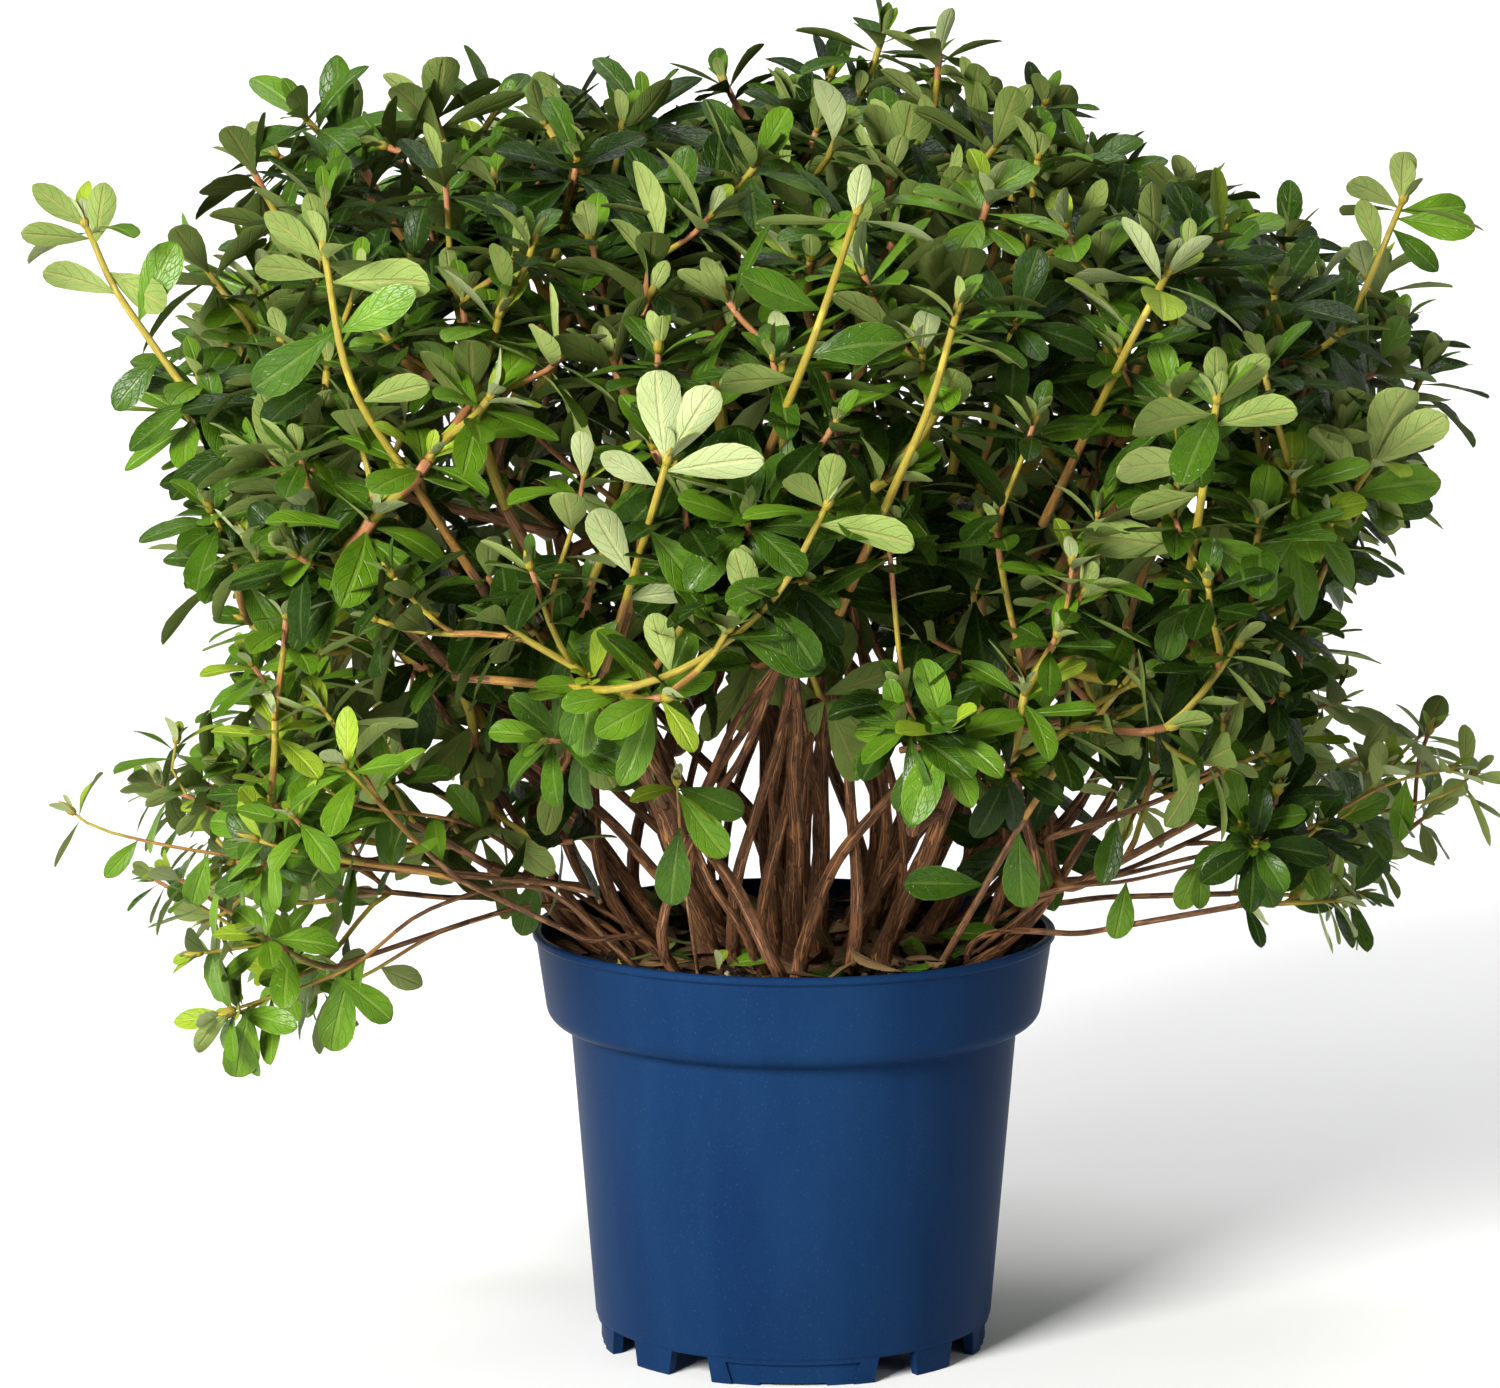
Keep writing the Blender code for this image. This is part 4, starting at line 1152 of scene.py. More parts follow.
def dress_shoot(leaves, small, draw, path, length, tint, whorl, leafy, spacing, seedlings=SEEDLINGS):
    """Leaves one shoot: a whorl with small young leaves at its tip, then single leaves down its length."""
    tip = path[-1]
    heading = (path[-1] - path[-2]).normalized()
    spin = draw.uniform(0, 2 * math.pi)
    fresh = min(NEW, max(FRESH, tint + 1))
    for _ in range(seedlings):
        spin += GOLDEN_ANGLE
        spread = math.radians(draw.uniform(*SEEDLING_SPREAD))
        add_leaf(small, draw, tip, heading, spin, spread, length * draw.uniform(*SEEDLING_SIZE), fresh)
    for number in range(whorl):
        spin += GOLDEN_ANGLE
        share = number / max(1, whorl - 1)
        shake = draw.uniform(-OPENING_SHAKE, OPENING_SHAKE)
        spread = math.radians(TIGHTEST + OPENING * share**OPENING_POWER + shake)
        size = length * (SMALLEST + GROWTH * share**0.5) * draw.uniform(*SIZE_SHAKE)
        foot = tip - heading * (WHORL_STEP * (number + 1))
        add_leaf(leaves, draw, foot, heading, spin, spread, size, min(NEW, tint + 1) if number < 2 else tint)
    run = 0.0
    goal = draw.uniform(*FIRST_LEAF)
    for before, after in zip(reversed(path[:-1]), reversed(path[1:])):
        step = (after - before).length
        while run + step > goal and goal < leafy:
            foot = after.lerp(before, (goal - run) / step)
            spin += GOLDEN_ANGLE
            spread = math.radians(draw.uniform(*SIDE_SPREAD))
            size = length * draw.uniform(*SIDE_SIZE)
            heading = (after - before).normalized()
            add_leaf(leaves, draw, foot, heading, spin, spread, size, tint, SIDE_LIFT, SIDE_DROP)
            goal += draw.uniform(*spacing)
        run += step


def skins_along(path, red, green, ripe):
    """The skin of each stretch of a shoot: red at the tip, then green, then ripe, then bark."""
    ends = distances(path)
    slots = []
    for left in ends[-1] - (ends[1:] + ends[:-1]) / 2:
        slots.append(RED if left < red else GREEN if left < green else RIPE if left < ripe else BARKY)
    return slots


def draw_branch(tubes, spray, run, red, green, ripe):
    path = [spray.points[number] for number in run]
    radii = [spray.radius(number) for number in run]
    radii[0] = min(radii[0], radii[1] * FORK_SWELL) if len(run) > 2 else radii[0]
    tubes.add(path, radii, TWIG_SIDES, skins_along(path, red, green, ripe))
    return path


def add_bud(tubes, shoot, size):
    """A pointed bud of tight young scales on the end of a shoot."""
    tip = shoot[-1]
    heading = (shoot[-1] - shoot[-2]).normalized()
    path = [tip + heading * (size * share) for share, _ in BUD_RINGS]
    radii = [size * BUD_WIDTH * wide for _, wide in BUD_RINGS]
    tubes.add(path, radii, TWIG_SIDES, [GREEN] * (len(path) - 1))


CROWN_PIECES = (  # tier, and the run of its masses that one piece joins
    ("top", 0, 1), ("upper", 0, 2), ("upper", 2, 4), ("middle", 0, 3), ("middle", 3, 6), ("middle", 6, 8),
    ("lower", 0, 4), ("lower", 4, 8), ("skirt", 0, 6), ("droop", 0, 1),
)
WHORLS = {  # how many leaves a shoot's whorl has
    "top": (7, 8, 9),
    "upper": (7, 8, 9),
    "middle": (7, 8, 8),
    "lower": (6, 7, 7),
    "skirt": (5, 6, 6),
    "droop": (6, 7),
}
LEAFY = {  # how far down from its tip a shoot has leaves
    "top": (0.015, 0.045),
    "upper": (0.015, 0.045),
    "middle": (0.015, 0.05),
    "lower": (0.025, 0.065),
    "skirt": (0.04, 0.08),
    "droop": (0.04, 0.08),
}


def tint_shares(mass):
    """The low masses are lightest at the left, darker at the far side and darkest in front: painted light
    and shade by side.
    """
    if mass.tier in CORE_TIERS or mass.axis.x < PAINTED_LIGHT_SIDE:
        return TINT_SHARES[mass.tier]
    return TINT_SHARES["far" if mass.axis.x > FAR_SIDE else PARENT_TIER]


def grow_mass(mass, seed, fine, plain, tubes):
    """The twigs of one mass, with their leaves and buds. Inside, the leaves are fewer and darker, the dark
    tint painting the crown's inner shade.
    """
    tier = mass.tier
    shares = tint_shares(mass)
    inner = set(tuple(tip) for tip in mass.tips[mass.outer:])
    spray = Spray(mass, seed)
    draw = spray.draw
    leader, *runs = spray.grow()
    path = [spray.points[number] for number in leader]
    tubes.add(path, [spray.radius(number) for number in leader], TWIG_SIDES + 2, [BARKY] * (len(leader) - 1))
    for run in runs:
        outer = tuple(spray.points[run[-1]]) not in inner
        tint = pick(draw, shares)
        length = mass.leaf_length * draw.uniform(*LENGTH_SHAKE)
        leafy = draw.uniform(*(LEAFY[tier] if outer else INNER_LEAFY))
        green = draw.uniform(*GREEN_LENGTHS)
        red = draw.choice(RED_LENGTHS) if tint < NEW else 0.0
        path = draw_branch(tubes, spray, run, red, green, green + draw.uniform(*RIPE_LENGTHS))
        if outer:
            whorl = draw.choice(WHORLS[tier])
            dress_shoot(fine, plain, draw, path, length, tint, whorl, leafy, OUTER_SPACING)
            add_bud(tubes, path, draw.uniform(*BUD_SIZES))
        else:
            # inside the core tiers the oldest, darkest tint: older leaves, and painted shade for the crown's
            # dark inside
            darker = OLD if tier in CORE_TIERS else tint
            dress_shoot(plain, plain, draw, path, length, darker, INNER_LEAVES, leafy, INNER_SPACING, 0)


def grow_crown(masses):
    """Twigs and leaves of every mass, joined by tier."""
    crown_tips(masses, *OUTER_SHELL)
    for mass in masses:
        mass.outer = len(mass.tips)
    crown_tips(masses, *INNER_SHELL)
    crown_tips([mass for mass in masses if mass.tier in CORE_TIERS], *CORE_SHELL)
    for order, (tier, first, last) in enumerate(CROWN_PIECES):
        fine, plain, tubes = Leaves(FINE), Leaves(PLAIN), Tubes()
        members = [mass for mass in masses if mass.tier == tier][first:last]
        for number, mass in enumerate(members):
            grow_mass(mass, 100 * order + number, fine, plain, tubes)
        label = f"{tier}_{first + 1}"
        twigs = tubes.piece(f"twigs_{label}", TWIG_MATERIALS, "bark")
        leafy = leaf_piece(f"leaves_{label}", (fine, plain), LEAF_MATERIALS, 900 + order)
        names = [mass.name for mass in members]
        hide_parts(*names)
        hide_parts(*names)


# ---- shoots that stand out of the crown

# name, points from foot to tip in millimetres, foot radius, tip radius, leaf length, tint, green length
FEATURE_SHOOTS = (
    ("left_long", ((-153, -100, 387), (-228, -100, 408), (-279, -90, 466), (-298, -80, 501)), 0.0023,
        0.0014, 0.036, FRESH, 0.11),
    ("left_droop", ((-66, -75, 181), (-108, -90, 220), (-154, -110, 215), (-189, -120, 191),
        (-235, -130, 176)), 0.0012, 0.0007, 0.024, NEW, 0.03),
    ("left_low", ((-83, -70, 210), (-101, -70, 218), (-231, -100, 235), (-290, -100, 246),
        (-305, -100, 254)), 0.0012, 0.0006, 0.024, FRESH, 0.02),
    ("left_mid", ((-102, -50, 215), (-194, -80, 233), (-260, -80, 259), (-264, -80, 281)), 0.0012, 0.0006,
        0.026, FRESH, 0.02),
    ("front_arch", ((-100, -220, 328), (-69, -250, 331), (-37, -260, 344), (-7, -270, 371),
        (12, -270, 405)), 0.0019, 0.0013, 0.033, FRESH, 0.14),
    ("front_pale", ((-70, -220, 353), (-58, -260, 394), (-50, -270, 422)), 0.0019, 0.0015, 0.046, NEW,
        0.07),
    ("right_top", ((212, -50, 415), (239, -60, 467), (257, -60, 510)), 0.002, 0.0013, 0.037, FULL, 0.08),
    ("right_bright", ((106, -60, 212), (174, -80, 233), (228, -90, 248), (251, -90, 272)), 0.0012, 0.0007,
        0.027, NEW, 0.03),
    ("right_far", ((228, -90, 248), (276, -80, 259), (290, -70, 266)), 0.0009, 0.0006, 0.027, FULL, 0.03),
    ("right_pale", ((191, -120, 343), (220, -150, 384), (237, -150, 409)), 0.0021, 0.0014, 0.042, FRESH,
        0.08),
    ("right_upright", ((158, -200, 362), (161, -230, 402), (166, -240, 443)), 0.0022, 0.0015, 0.038, FULL,
        0.09),
    ("yellow_left", ((-150, -200, 402), (-176, -220, 449), (-186, -220, 500)), 0.0021, 0.0014, 0.038, FULL,
        0.1),
    ("yellow_mid", ((-9, -240, 427), (8, -260, 472), (24, -240, 517)), 0.0021, 0.0014, 0.038, FRESH, 0.1),
    ("yellow_mid_right", ((38, -250, 408), (53, -260, 445), (63, -260, 480)), 0.0021, 0.0014, 0.038, FULL,
        0.1),
    ("pale_crest", ((119, -200, 431), (133, -220, 465), (147, -220, 492)), 0.0021, 0.0015, 0.045, NEW,
        0.08),
    ("front_stick", ((-40, -75, 172), (-46, -130, 234), (-48, -170, 279)), 0.0009, 0.0006, 0.024, NEW,
        0.01),
    ("grey_stem", ((60, -50, 172), (103, -120, 266), (138, -170, 325)), 0.0018, 0.0012, 0.034, FULL, 0.05),
    ("front_cross", ((44, -150, 290), (104, -180, 306), (136, -200, 325)), 0.0015, 0.0012, 0.033, FULL,
        0.02),
    ("brown_cross", ((107, -50, 234), (151, -100, 259), (194, -140, 287)), 0.0016, 0.001, 0.03, FULL,
        0.01),
    ("right_low", ((80, -45, 184), (113, -60, 213), (148, -80, 223), (208, -100, 244), (250, -100, 267),
        (277, -90, 272)), 0.0011, 0.0007, 0.028, FRESH, 0.03),
    ("left_bright", ((-70, -30, 190), (-102, -40, 213), (-139, -80, 246), (-186, -120, 262),
        (-207, -120, 279)), 0.0011, 0.0007, 0.026, NEW, 0.03),
    ("right_fan", ((150, -80, 318), (207, -120, 347), (220, -130, 373), (239, -130, 398)), 0.0021, 0.0014,
        0.038, FULL, 0.08),
)
WHORLED_SHOOTS = {"left_mid": (6, 0.09), "right_far": (5, 0.05), "yellow_mid_right": (7, 0.03),
    "pale_crest": (6, 0.03)}  # without a fan: leaves in the whorl, leafy length
FAN_WHORL = (3, 0.0)

UNDER = "under"
TOP = "top"
FANS = {  # share of the shoot, angle from level, length in millimetres, the side that faces forward
    "left_long": ((1, 140, 29, UNDER), (0.95, 80, 30, UNDER), (0.97, 175, 30, UNDER),
        (0.82, 155, 34, UNDER), (0.75, 66, 38, TOP), (0.66, 225, 30, TOP), (0.32, 255, 37, TOP),
        (0.48, 100, 26, TOP), (0.48, 22, 33, TOP), (0.88, -28, 34, UNDER)),
    "left_droop": ((1, 215, 26, UNDER), (0.97, 262, 34, TOP), (0.78, -35, 32, TOP), (0.74, 255, 38, TOP),
        (0.7, 235, 30, TOP), (0.86, 120, 20, TOP)),
    "left_low": ((0.72, 250, 26, TOP), (0.55, 240, 24, TOP), (0.63, 75, 22, TOP), (0.85, 230, 22, TOP)),
    "left_bright": ((0.3, 250, 30, TOP), (0.5, 120, 26, TOP), (0.7, 240, 26, TOP), (0.85, 60, 24, UNDER)),
    "front_pale": ((1, 97, 42, UNDER), (1, 62, 39, UNDER), (0.97, 12, 42, UNDER), (0.9, 148, 28, UNDER),
        (0.72, -48, 36, TOP), (0.35, 120, 35, UNDER), (0.18, 14, 27, UNDER), (0.04, 225, 30, TOP)),
    "front_arch": ((1, 132, 24, UNDER), (1, 82, 26, UNDER), (0.96, -4, 40, UNDER), (0.82, 192, 26, TOP),
        (0.7, 108, 30, UNDER), (0.42, 106, 28, UNDER), (0.62, -20, 38, TOP), (0.75, -52, 32, TOP),
        (0.15, 250, 24, TOP)),
    "right_upright": ((1, 92, 26, UNDER), (0.98, 52, 30, UNDER), (0.95, 178, 38, UNDER),
        (0.9, 20, 36, UNDER), (0.72, 172, 41, UNDER), (0.6, 196, 30, UNDER), (0.36, -26, 43, TOP),
        (0.28, 172, 46, UNDER), (0.06, 250, 32, TOP), (0.8, 60, 34, TOP)),
    "right_pale": ((1, 76, 43, UNDER), (0.98, 42, 42, UNDER), (0.9, 128, 36, UNDER), (0.84, 16, 38, TOP),
        (0.55, 190, 32, TOP)),
    "right_fan": ((1, 125, 34, UNDER), (1, 92, 28, UNDER), (0.97, 64, 38, UNDER), (0.94, 156, 36, UNDER),
        (0.92, 12, 36, TOP), (0.72, 150, 26, UNDER), (0.5, -6, 32, TOP), (0.3, -24, 30, UNDER)),
    "right_top": ((1, 90, 26, UNDER), (0.98, 146, 29, UNDER), (0.97, 4, 29, TOP), (0.94, -8, 34, TOP),
        (0.9, -42, 27, TOP), (0.78, 108, 26, UNDER)),
    "yellow_left": ((1, 100, 27, UNDER), (0.97, 138, 32, UNDER), (0.9, 6, 42, UNDER), (0.72, 30, 38, TOP),
        (0.74, 218, 43, TOP), (0.45, 20, 30, UNDER), (0.92, 165, 30, UNDER)),
    "yellow_mid": ((0.6, 160, 36, TOP), (0.4, 18, 40, TOP), (0.3, 178, 34, UNDER)),
    "right_low": ((0.36, 262, 26, TOP), (0.52, 268, 20, TOP), (0.72, 285, 30, TOP), (0.92, 262, 27, TOP),
        (0.86, 80, 22, UNDER), (0.6, 60, 18, TOP)),
    "right_bright": ((0.6, 120, 26, TOP), (0.45, 250, 26, TOP), (0.8, 30, 28, TOP)),
    "front_stick": ((0.97, 305, 34, TOP), (0.8, 262, 36, TOP), (0.99, 340, 30, TOP)),
    "grey_stem": ((0.3, 172, 36, TOP), (0.48, 272, 36, TOP), (0.62, 60, 30, TOP), (0.8, 190, 30, UNDER)),
    "front_cross": ((0.1, 250, 30, TOP), (0.55, 80, 30, TOP), (0.75, 265, 30, TOP)),
    "brown_cross": ((0.35, 262, 30, TOP), (0.6, 70, 30, TOP)),
}
FAN_LEAN = (-0.35, 0.0)
FAN_FACES = ((-0.25, 0.25), (-0.1, 0.2))  # sideways, up
FAN_LIFT = 0.35
FRESH_FANS = ("right_pale", "left_droop", "left_low", "right_low")
FAN_TINTS = {"front_pale": NEW, **dict.fromkeys(FRESH_FANS, FRESH)}


def point_on(path, share):
    spot = share * (len(path) - 1)
    low = min(int(spot), len(path) - 2)
    return path[low].lerp(path[low + 1], spot - low)


def add_fan(leaves, draw, name, path):
    """The leaves of a shoot that are seen singly, turned so that the right side of each faces forward."""
    for share, degrees, length, side in FANS.get(name, ()):
        angle = math.radians(degrees)
        along = Vector((math.cos(angle), draw.uniform(*FAN_LEAN), math.sin(angle))).normalized()
        facing = -1.0 if side == TOP else 1.0
        sideways, lift = (draw.uniform(*span) for span in FAN_FACES)
        normal = Vector((sideways, facing, FAN_LIFT + lift))
        tint = FAN_TINTS.get(name, draw.choice((FULL, FULL, FRESH)))
        tint = min(tint, FRESH) if side == TOP else tint
        leaves.add(point_on(path, share), along, normal, length / 1000, tint)


def curve_through(points, step):
    """A smooth line through the points, by Catmull and Rom's rule."""
    padded = [points[0] * 2 - points[1]] + points + [points[-1] * 2 - points[-2]]
    line = []
    for a, b, c, d in zip(padded, padded[1:], padded[2:], padded[3:]):
        count = max(2, int((c - b).length / step))
        for number in range(count):
            t = number / count
            curve = b * 2 + (c - a) * t + (a * 2 - b * 5 + c * 4 - d) * t**2 + (b * 3 - a - c * 3 + d) * t**3
            line.append(curve / 2)
    return line + [points[-1]]


FOOTLESS = 0.3
FOOT_REACH = 0.055
FOOT_STEPS = 7
FEATURE_STEP = 0.008
FEATURE_SIDES = 8
FEATURE_BUD = 0.009
RIPE_LENGTH = 0.05


def grow_features():
    """The shoots placed one by one. A high one has a straight foot that is hidden in the crown."""
    fine, tubes = Leaves(FINE), Tubes()
    for number, (name, points, thick, thin, length, tint, green) in enumerate(FEATURE_SHOOTS):
        draw = random.Random(300 + number)
        shoot = curve_through([Vector([value / 1000 for value in point]) for point in points], FEATURE_STEP)
        back = (shoot[0] - shoot[1]).normalized() * FOOT_REACH / FOOT_STEPS
        hidden = FOOT_STEPS if shoot[0].z > FOOTLESS else 0
        path = [shoot[0] + back * step for step in range(hidden, 0, -1)] + shoot
        last = len(path) - 1
        radii = [thick + (thin - thick) * step / last for step in range(len(path))]
        tubes.add(path, radii, FEATURE_SIDES, skins_along(path, 0.0, green, green + RIPE_LENGTH))
        add_fan(fine, draw, name, shoot)
        whorl = WHORLED_SHOOTS.get(name, FAN_WHORL)
        dress_shoot(fine, fine, draw, path, length, tint, *whorl, INNER_SPACING)
        add_bud(tubes, path, FEATURE_BUD)
    tubes.piece("feature_shoots", TWIG_MATERIALS, "bark")
    leaf_piece("feature_leaves", (fine,), LEAF_MATERIALS, 77)


# ---- pot


def inner_radius(height):
    """The radius of the pot's inner face at this height."""
    if height >= COLLAR_FOOT_HEIGHT:
        share = (height - COLLAR_FOOT_HEIGHT) / (POT_HEIGHT - COLLAR_FOOT_HEIGHT)
        return COLLAR_FOOT_RADIUS + share * (COLLAR_TOP_RADIUS - COLLAR_FOOT_RADIUS) - POT_WALL
    share = (height - FOOT_HEIGHT) / (BODY_TOP_HEIGHT - FOOT_HEIGHT)
    return BODY_FOOT_RADIUS + min(share, 1.0) * (BODY_TOP_RADIUS - BODY_FOOT_RADIUS) - POT_WALL


POT_SEGMENTS = 160
SHOULDER = 0.008
SHOULDER_STEPS = 8
SHOULDER_LEAN = 0.0016
SHOULDER_DROP = 0.95
CUT_DEPTH = 0.018
NOTCH_CUT = (-NOTCH_HEIGHT, NOTCH_HEIGHT, NOTCH_MOUTH, NOTCH_CROWN)
STEP_CUT = (-0.002, 0.0012, 0.03, 0.029)
PANEL_HEIGHTS = (-0.001, 0.0098)
PANEL_HALF_ANGLES = (17.4, 19.7)
PANEL_RADII = (FOOT_RADIUS - 0.001, FOOT_RADIUS + 0.004)
PANEL_STEPS = 12
CREASE = math.radians(32)


RIM_CURVE = ((-0.0016, 0.0), (-0.0007, -0.0002), (-0.0001, -0.0008), (0.0, -0.0016))  # out, up
LIP_CURVE = ((-0.0001, 0.0006), (-0.0006, 0.0))
COLLAR_CURVE = ((0.0008, -0.0003), (0.0002, -0.0009), (0.0, -LIP_STEP))
COLLAR_FOOT_CURVE = ((0.0009, 0.006), (0.0, 0.0))
NECK_CURVE = ((0.0006, 0.0002), (0.0002, -0.0006), (0.0, -0.0025))
BODY_FOOT_CURVE = ((0.0, 0.0012), (-0.0003, 0.0004))
FOOT_CURVE = ((0.0001, -0.0002), (0.0, -0.001))
RING_CURVE = ((0.0003, 0.0006), (0.0, 0.0), (-FOOT_WIDTH, 0.0), (-FOOT_WIDTH, FOOT_HEIGHT))
INSIDE_CURVE = ((-0.0001, -0.001), (0.0006, -0.0003))


def rounded(radius, height, curve):
    """The points of a rounded corner, from how far each one lies out from it and up."""
    return [(radius + out, height + up) for out, up in curve]


def pot_profile():
    """The turned outline, down the outside from the lip and up the inside."""
    lip_foot = POT_HEIGHT - LIP_HEIGHT
    floor_top = FOOT_HEIGHT + FLOOR_THICKNESS
    line = rounded(RIM_RADIUS, POT_HEIGHT, RIM_CURVE) + rounded(RIM_RADIUS, lip_foot, LIP_CURVE)
    line += rounded(COLLAR_TOP_RADIUS, lip_foot, COLLAR_CURVE)
    line += rounded(COLLAR_FOOT_RADIUS, COLLAR_FOOT_HEIGHT, COLLAR_FOOT_CURVE)
    for step in range(1, SHOULDER_STEPS + 1):
        turn = math.radians(90 * step / SHOULDER_STEPS)
        inward = SHOULDER * (1 - math.cos(turn))
        radius = COLLAR_FOOT_RADIUS - inward - SHOULDER_LEAN * step / SHOULDER_STEPS
        line.append((radius, COLLAR_FOOT_HEIGHT - SHOULDER * SHOULDER_DROP * math.sin(turn)))
    line += rounded(BODY_TOP_RADIUS, line[-1][1], NECK_CURVE)
    line += rounded(BODY_FOOT_RADIUS, FOOT_HEIGHT, BODY_FOOT_CURVE)
    line += rounded(FOOT_TOP_RADIUS, FOOT_HEIGHT, FOOT_CURVE) + rounded(FOOT_RADIUS, 0.0, RING_CURVE)
    line += [(0.0, FOOT_HEIGHT), (0.0, floor_top)]
    line += [(inner_radius(height), height) for height in (floor_top, BODY_TOP_HEIGHT, COLLAR_FOOT_HEIGHT)]
    return line + rounded(inner_radius(POT_HEIGHT), POT_HEIGHT, INSIDE_CURVE)


def block_cutter(name, azimuth, low, high, mouth, crown):
    """A bar that crosses the foot ring at this azimuth, its width at the bottom and at the top given."""
    shape = bmesh.new()
    bmesh.ops.create_cube(shape, size=1.0)
    for vertex in shape.verts:
        top = vertex.co.z > 0
        vertex.co.x = FOOT_RADIUS + vertex.co.x * CUT_DEPTH
        vertex.co.y *= crown if top else mouth
        vertex.co.z = high if top else low
    shape.transform(Matrix.Rotation(math.radians(azimuth), 4, "Z"))
    return link_object(name, mesh_from(name, shape))


def panel_cutter(name, azimuth):
    """A curved bar along the foot ring, a little wider at the top."""
    shape = bmesh.new()
    rows = []
    for height, half in zip(PANEL_HEIGHTS, PANEL_HALF_ANGLES):
        rows.append([])
        for step in range(PANEL_STEPS + 1):
            turn = math.radians(azimuth - half + 2 * half * step / PANEL_STEPS)
            places = [(math.cos(turn) * r, math.sin(turn) * r, height) for r in PANEL_RADII]
            rows[-1].append([shape.verts.new(place) for place in places])
    for a in range(PANEL_STEPS):
        b = a + 1
        for row in rows:
            shape.faces.new((row[a][0], row[b][0], row[b][1], row[a][1]))
        for side in (0, 1):
            shape.faces.new((rows[0][a][side], rows[0][b][side], rows[1][b][side], rows[1][a][side]))
    for end in (0, PANEL_STEPS):
        shape.faces.new((rows[0][end][0], rows[0][end][1], rows[1][end][1], rows[1][end][0]))
    bmesh.ops.recalc_face_normals(shape, faces=shape.faces)
    return link_object(name, mesh_from(name, shape))


def make_pot():
    """The turned shell, with the notches and panels cut out of its foot ring."""
    profile = pot_profile()
    mesh = bpy.data.meshes.new("pot_shell")
    ends = [(i, (i + 1) % len(profile)) for i in range(len(profile))]
    edges = [(i, k) for i, k in ends if profile[i][0] > 0 or profile[k][0] > 0]
    mesh.from_pydata([(radius, 0.0, height) for radius, height in profile], edges, [])
    shell = link_object("pot_shell_turned", mesh)
    screw = shell.modifiers.new("turn", "SCREW")
    screw.steps = POT_SEGMENTS
    screw.render_steps = POT_SEGMENTS
    screw.use_merge_vertices = True
    screw.merge_threshold = 0.00001
    cutters = [block_cutter(f"notch_{azimuth}", azimuth, *NOTCH_CUT) for azimuth in NOTCH_ANGLES]
    for azimuth in (0, 90, 180, 270):
        cutters.append(panel_cutter(f"panel_{azimuth}", azimuth))
        cutters.append(block_cutter(f"step_{azimuth}", azimuth, *STEP_CUT))
    for cutter in cutters:
        cut = shell.modifiers.new(cutter.name, "BOOLEAN")
        cut.operation = "DIFFERENCE"
        cut.object = cutter
    bpy.context.view_layer.update()
    finished = bpy.data.meshes.new_from_object(shell.evaluated_get(bpy.context.evaluated_depsgraph_get()))
    for spare in [shell] + cutters:
        bpy.data.objects.remove(spare)
    finished.materials.clear()
    finished.materials.append(PLASTIC)
    finished.shade_smooth()
    finished.set_sharp_from_angle(angle=CREASE)
    piece = add_piece("pot_shell", finished)
    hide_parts("pot")


# ---- soil and what lies on it

WALL_GAP = 0.0004
SOIL_RINGS = 54
SOIL_SPOKES = 150
SOIL_SKIRT = 0.004
SOIL_COVER = 0.0014
SOIL_SLICE = 0.3
SOIL_DOME = (0.0016, 0.11)  # height, radius
SOIL_LUMPS = ((30, 0.0022), (110, 0.0011), (330, 0.0008))  # scale, height


def soil_height(x, y):
    spot = Vector((x, y, SOIL_SLICE))
    broad, lumps, crumbly = (noise.noise(spot * scale) * height for scale, height in SOIL_LUMPS)
    rise = SOIL_DOME[0] * (1 - (math.hypot(x, y) / SOIL_DOME[1]) ** 2)
    return SOIL_LEVEL + SOIL_COVER + broad + (lumps + crumbly) + rise


def make_soil():
    """A crumbly disc over the soil's solid, down to the wall of the pot."""
    outer = inner_radius(SOIL_LEVEL) - WALL_GAP
    points = [(0.0, 0.0, soil_height(0.0, 0.0))]
    for ring in range(1, SOIL_RINGS + 1):
        radius = outer * ring / SOIL_RINGS
        for spoke in range(SOIL_SPOKES):
            angle = 2 * math.pi * (spoke + 0.5 * (ring % 2)) / SOIL_SPOKES
            x, y = radius * math.cos(angle), radius * math.sin(angle)
            points.append((x, y, soil_height(x, y)))
    points += [(x, y, SOIL_LEVEL - SOIL_SKIRT) for x, y, _ in points[-SOIL_SPOKES:]]
    triangles = [(0, 1 + spoke, 1 + (spoke + 1) % SOIL_SPOKES) for spoke in range(SOIL_SPOKES)]
    quads = []
    for low in range(1, 1 + SOIL_RINGS * SOIL_SPOKES, SOIL_SPOKES):
        for spoke in range(SOIL_SPOKES):
            other = (spoke + 1) % SOIL_SPOKES
            quads.append((low + spoke, low + SOIL_SPOKES + spoke, low + SOIL_SPOKES + other, low + other))
    faces = [np.array(quads), np.array(triangles)]
    slots = [np.zeros(len(block)) for block in faces]
    uv = [point[:2] for point in points]
    mesh_piece("soil_surface", np.array(points), faces, slots, (EARTH,), uv, GRAIN_MAP)


def strewn(draw, outer):
    """A point on the level, picked evenly within this radius."""
    radius = outer * math.sqrt(draw.random())
    angle = draw.uniform(0, 2 * math.pi)
    return radius * math.cos(angle), radius * math.sin(angle)


CRUMB_SIZES = (0.5, 1.0)
CRUMB_STRETCH = (0.6, 1.3)
CRUMB_TURN = 6.28
CRUMB_LIFT = 0.3
CRUMB_BUMPS = (0.3, 900, 50)  # height, scale, change from one to the next
CRUMB_PIECES = (  # name, count, smallest, largest, material, seed, how far out
    ("soil_crumbs", 900, 0.0008, 0.003, EARTH, 21, 0.105),
    ("pale_grit", 90, 0.0007, 0.002, GRIT, 22, 0.102),
)


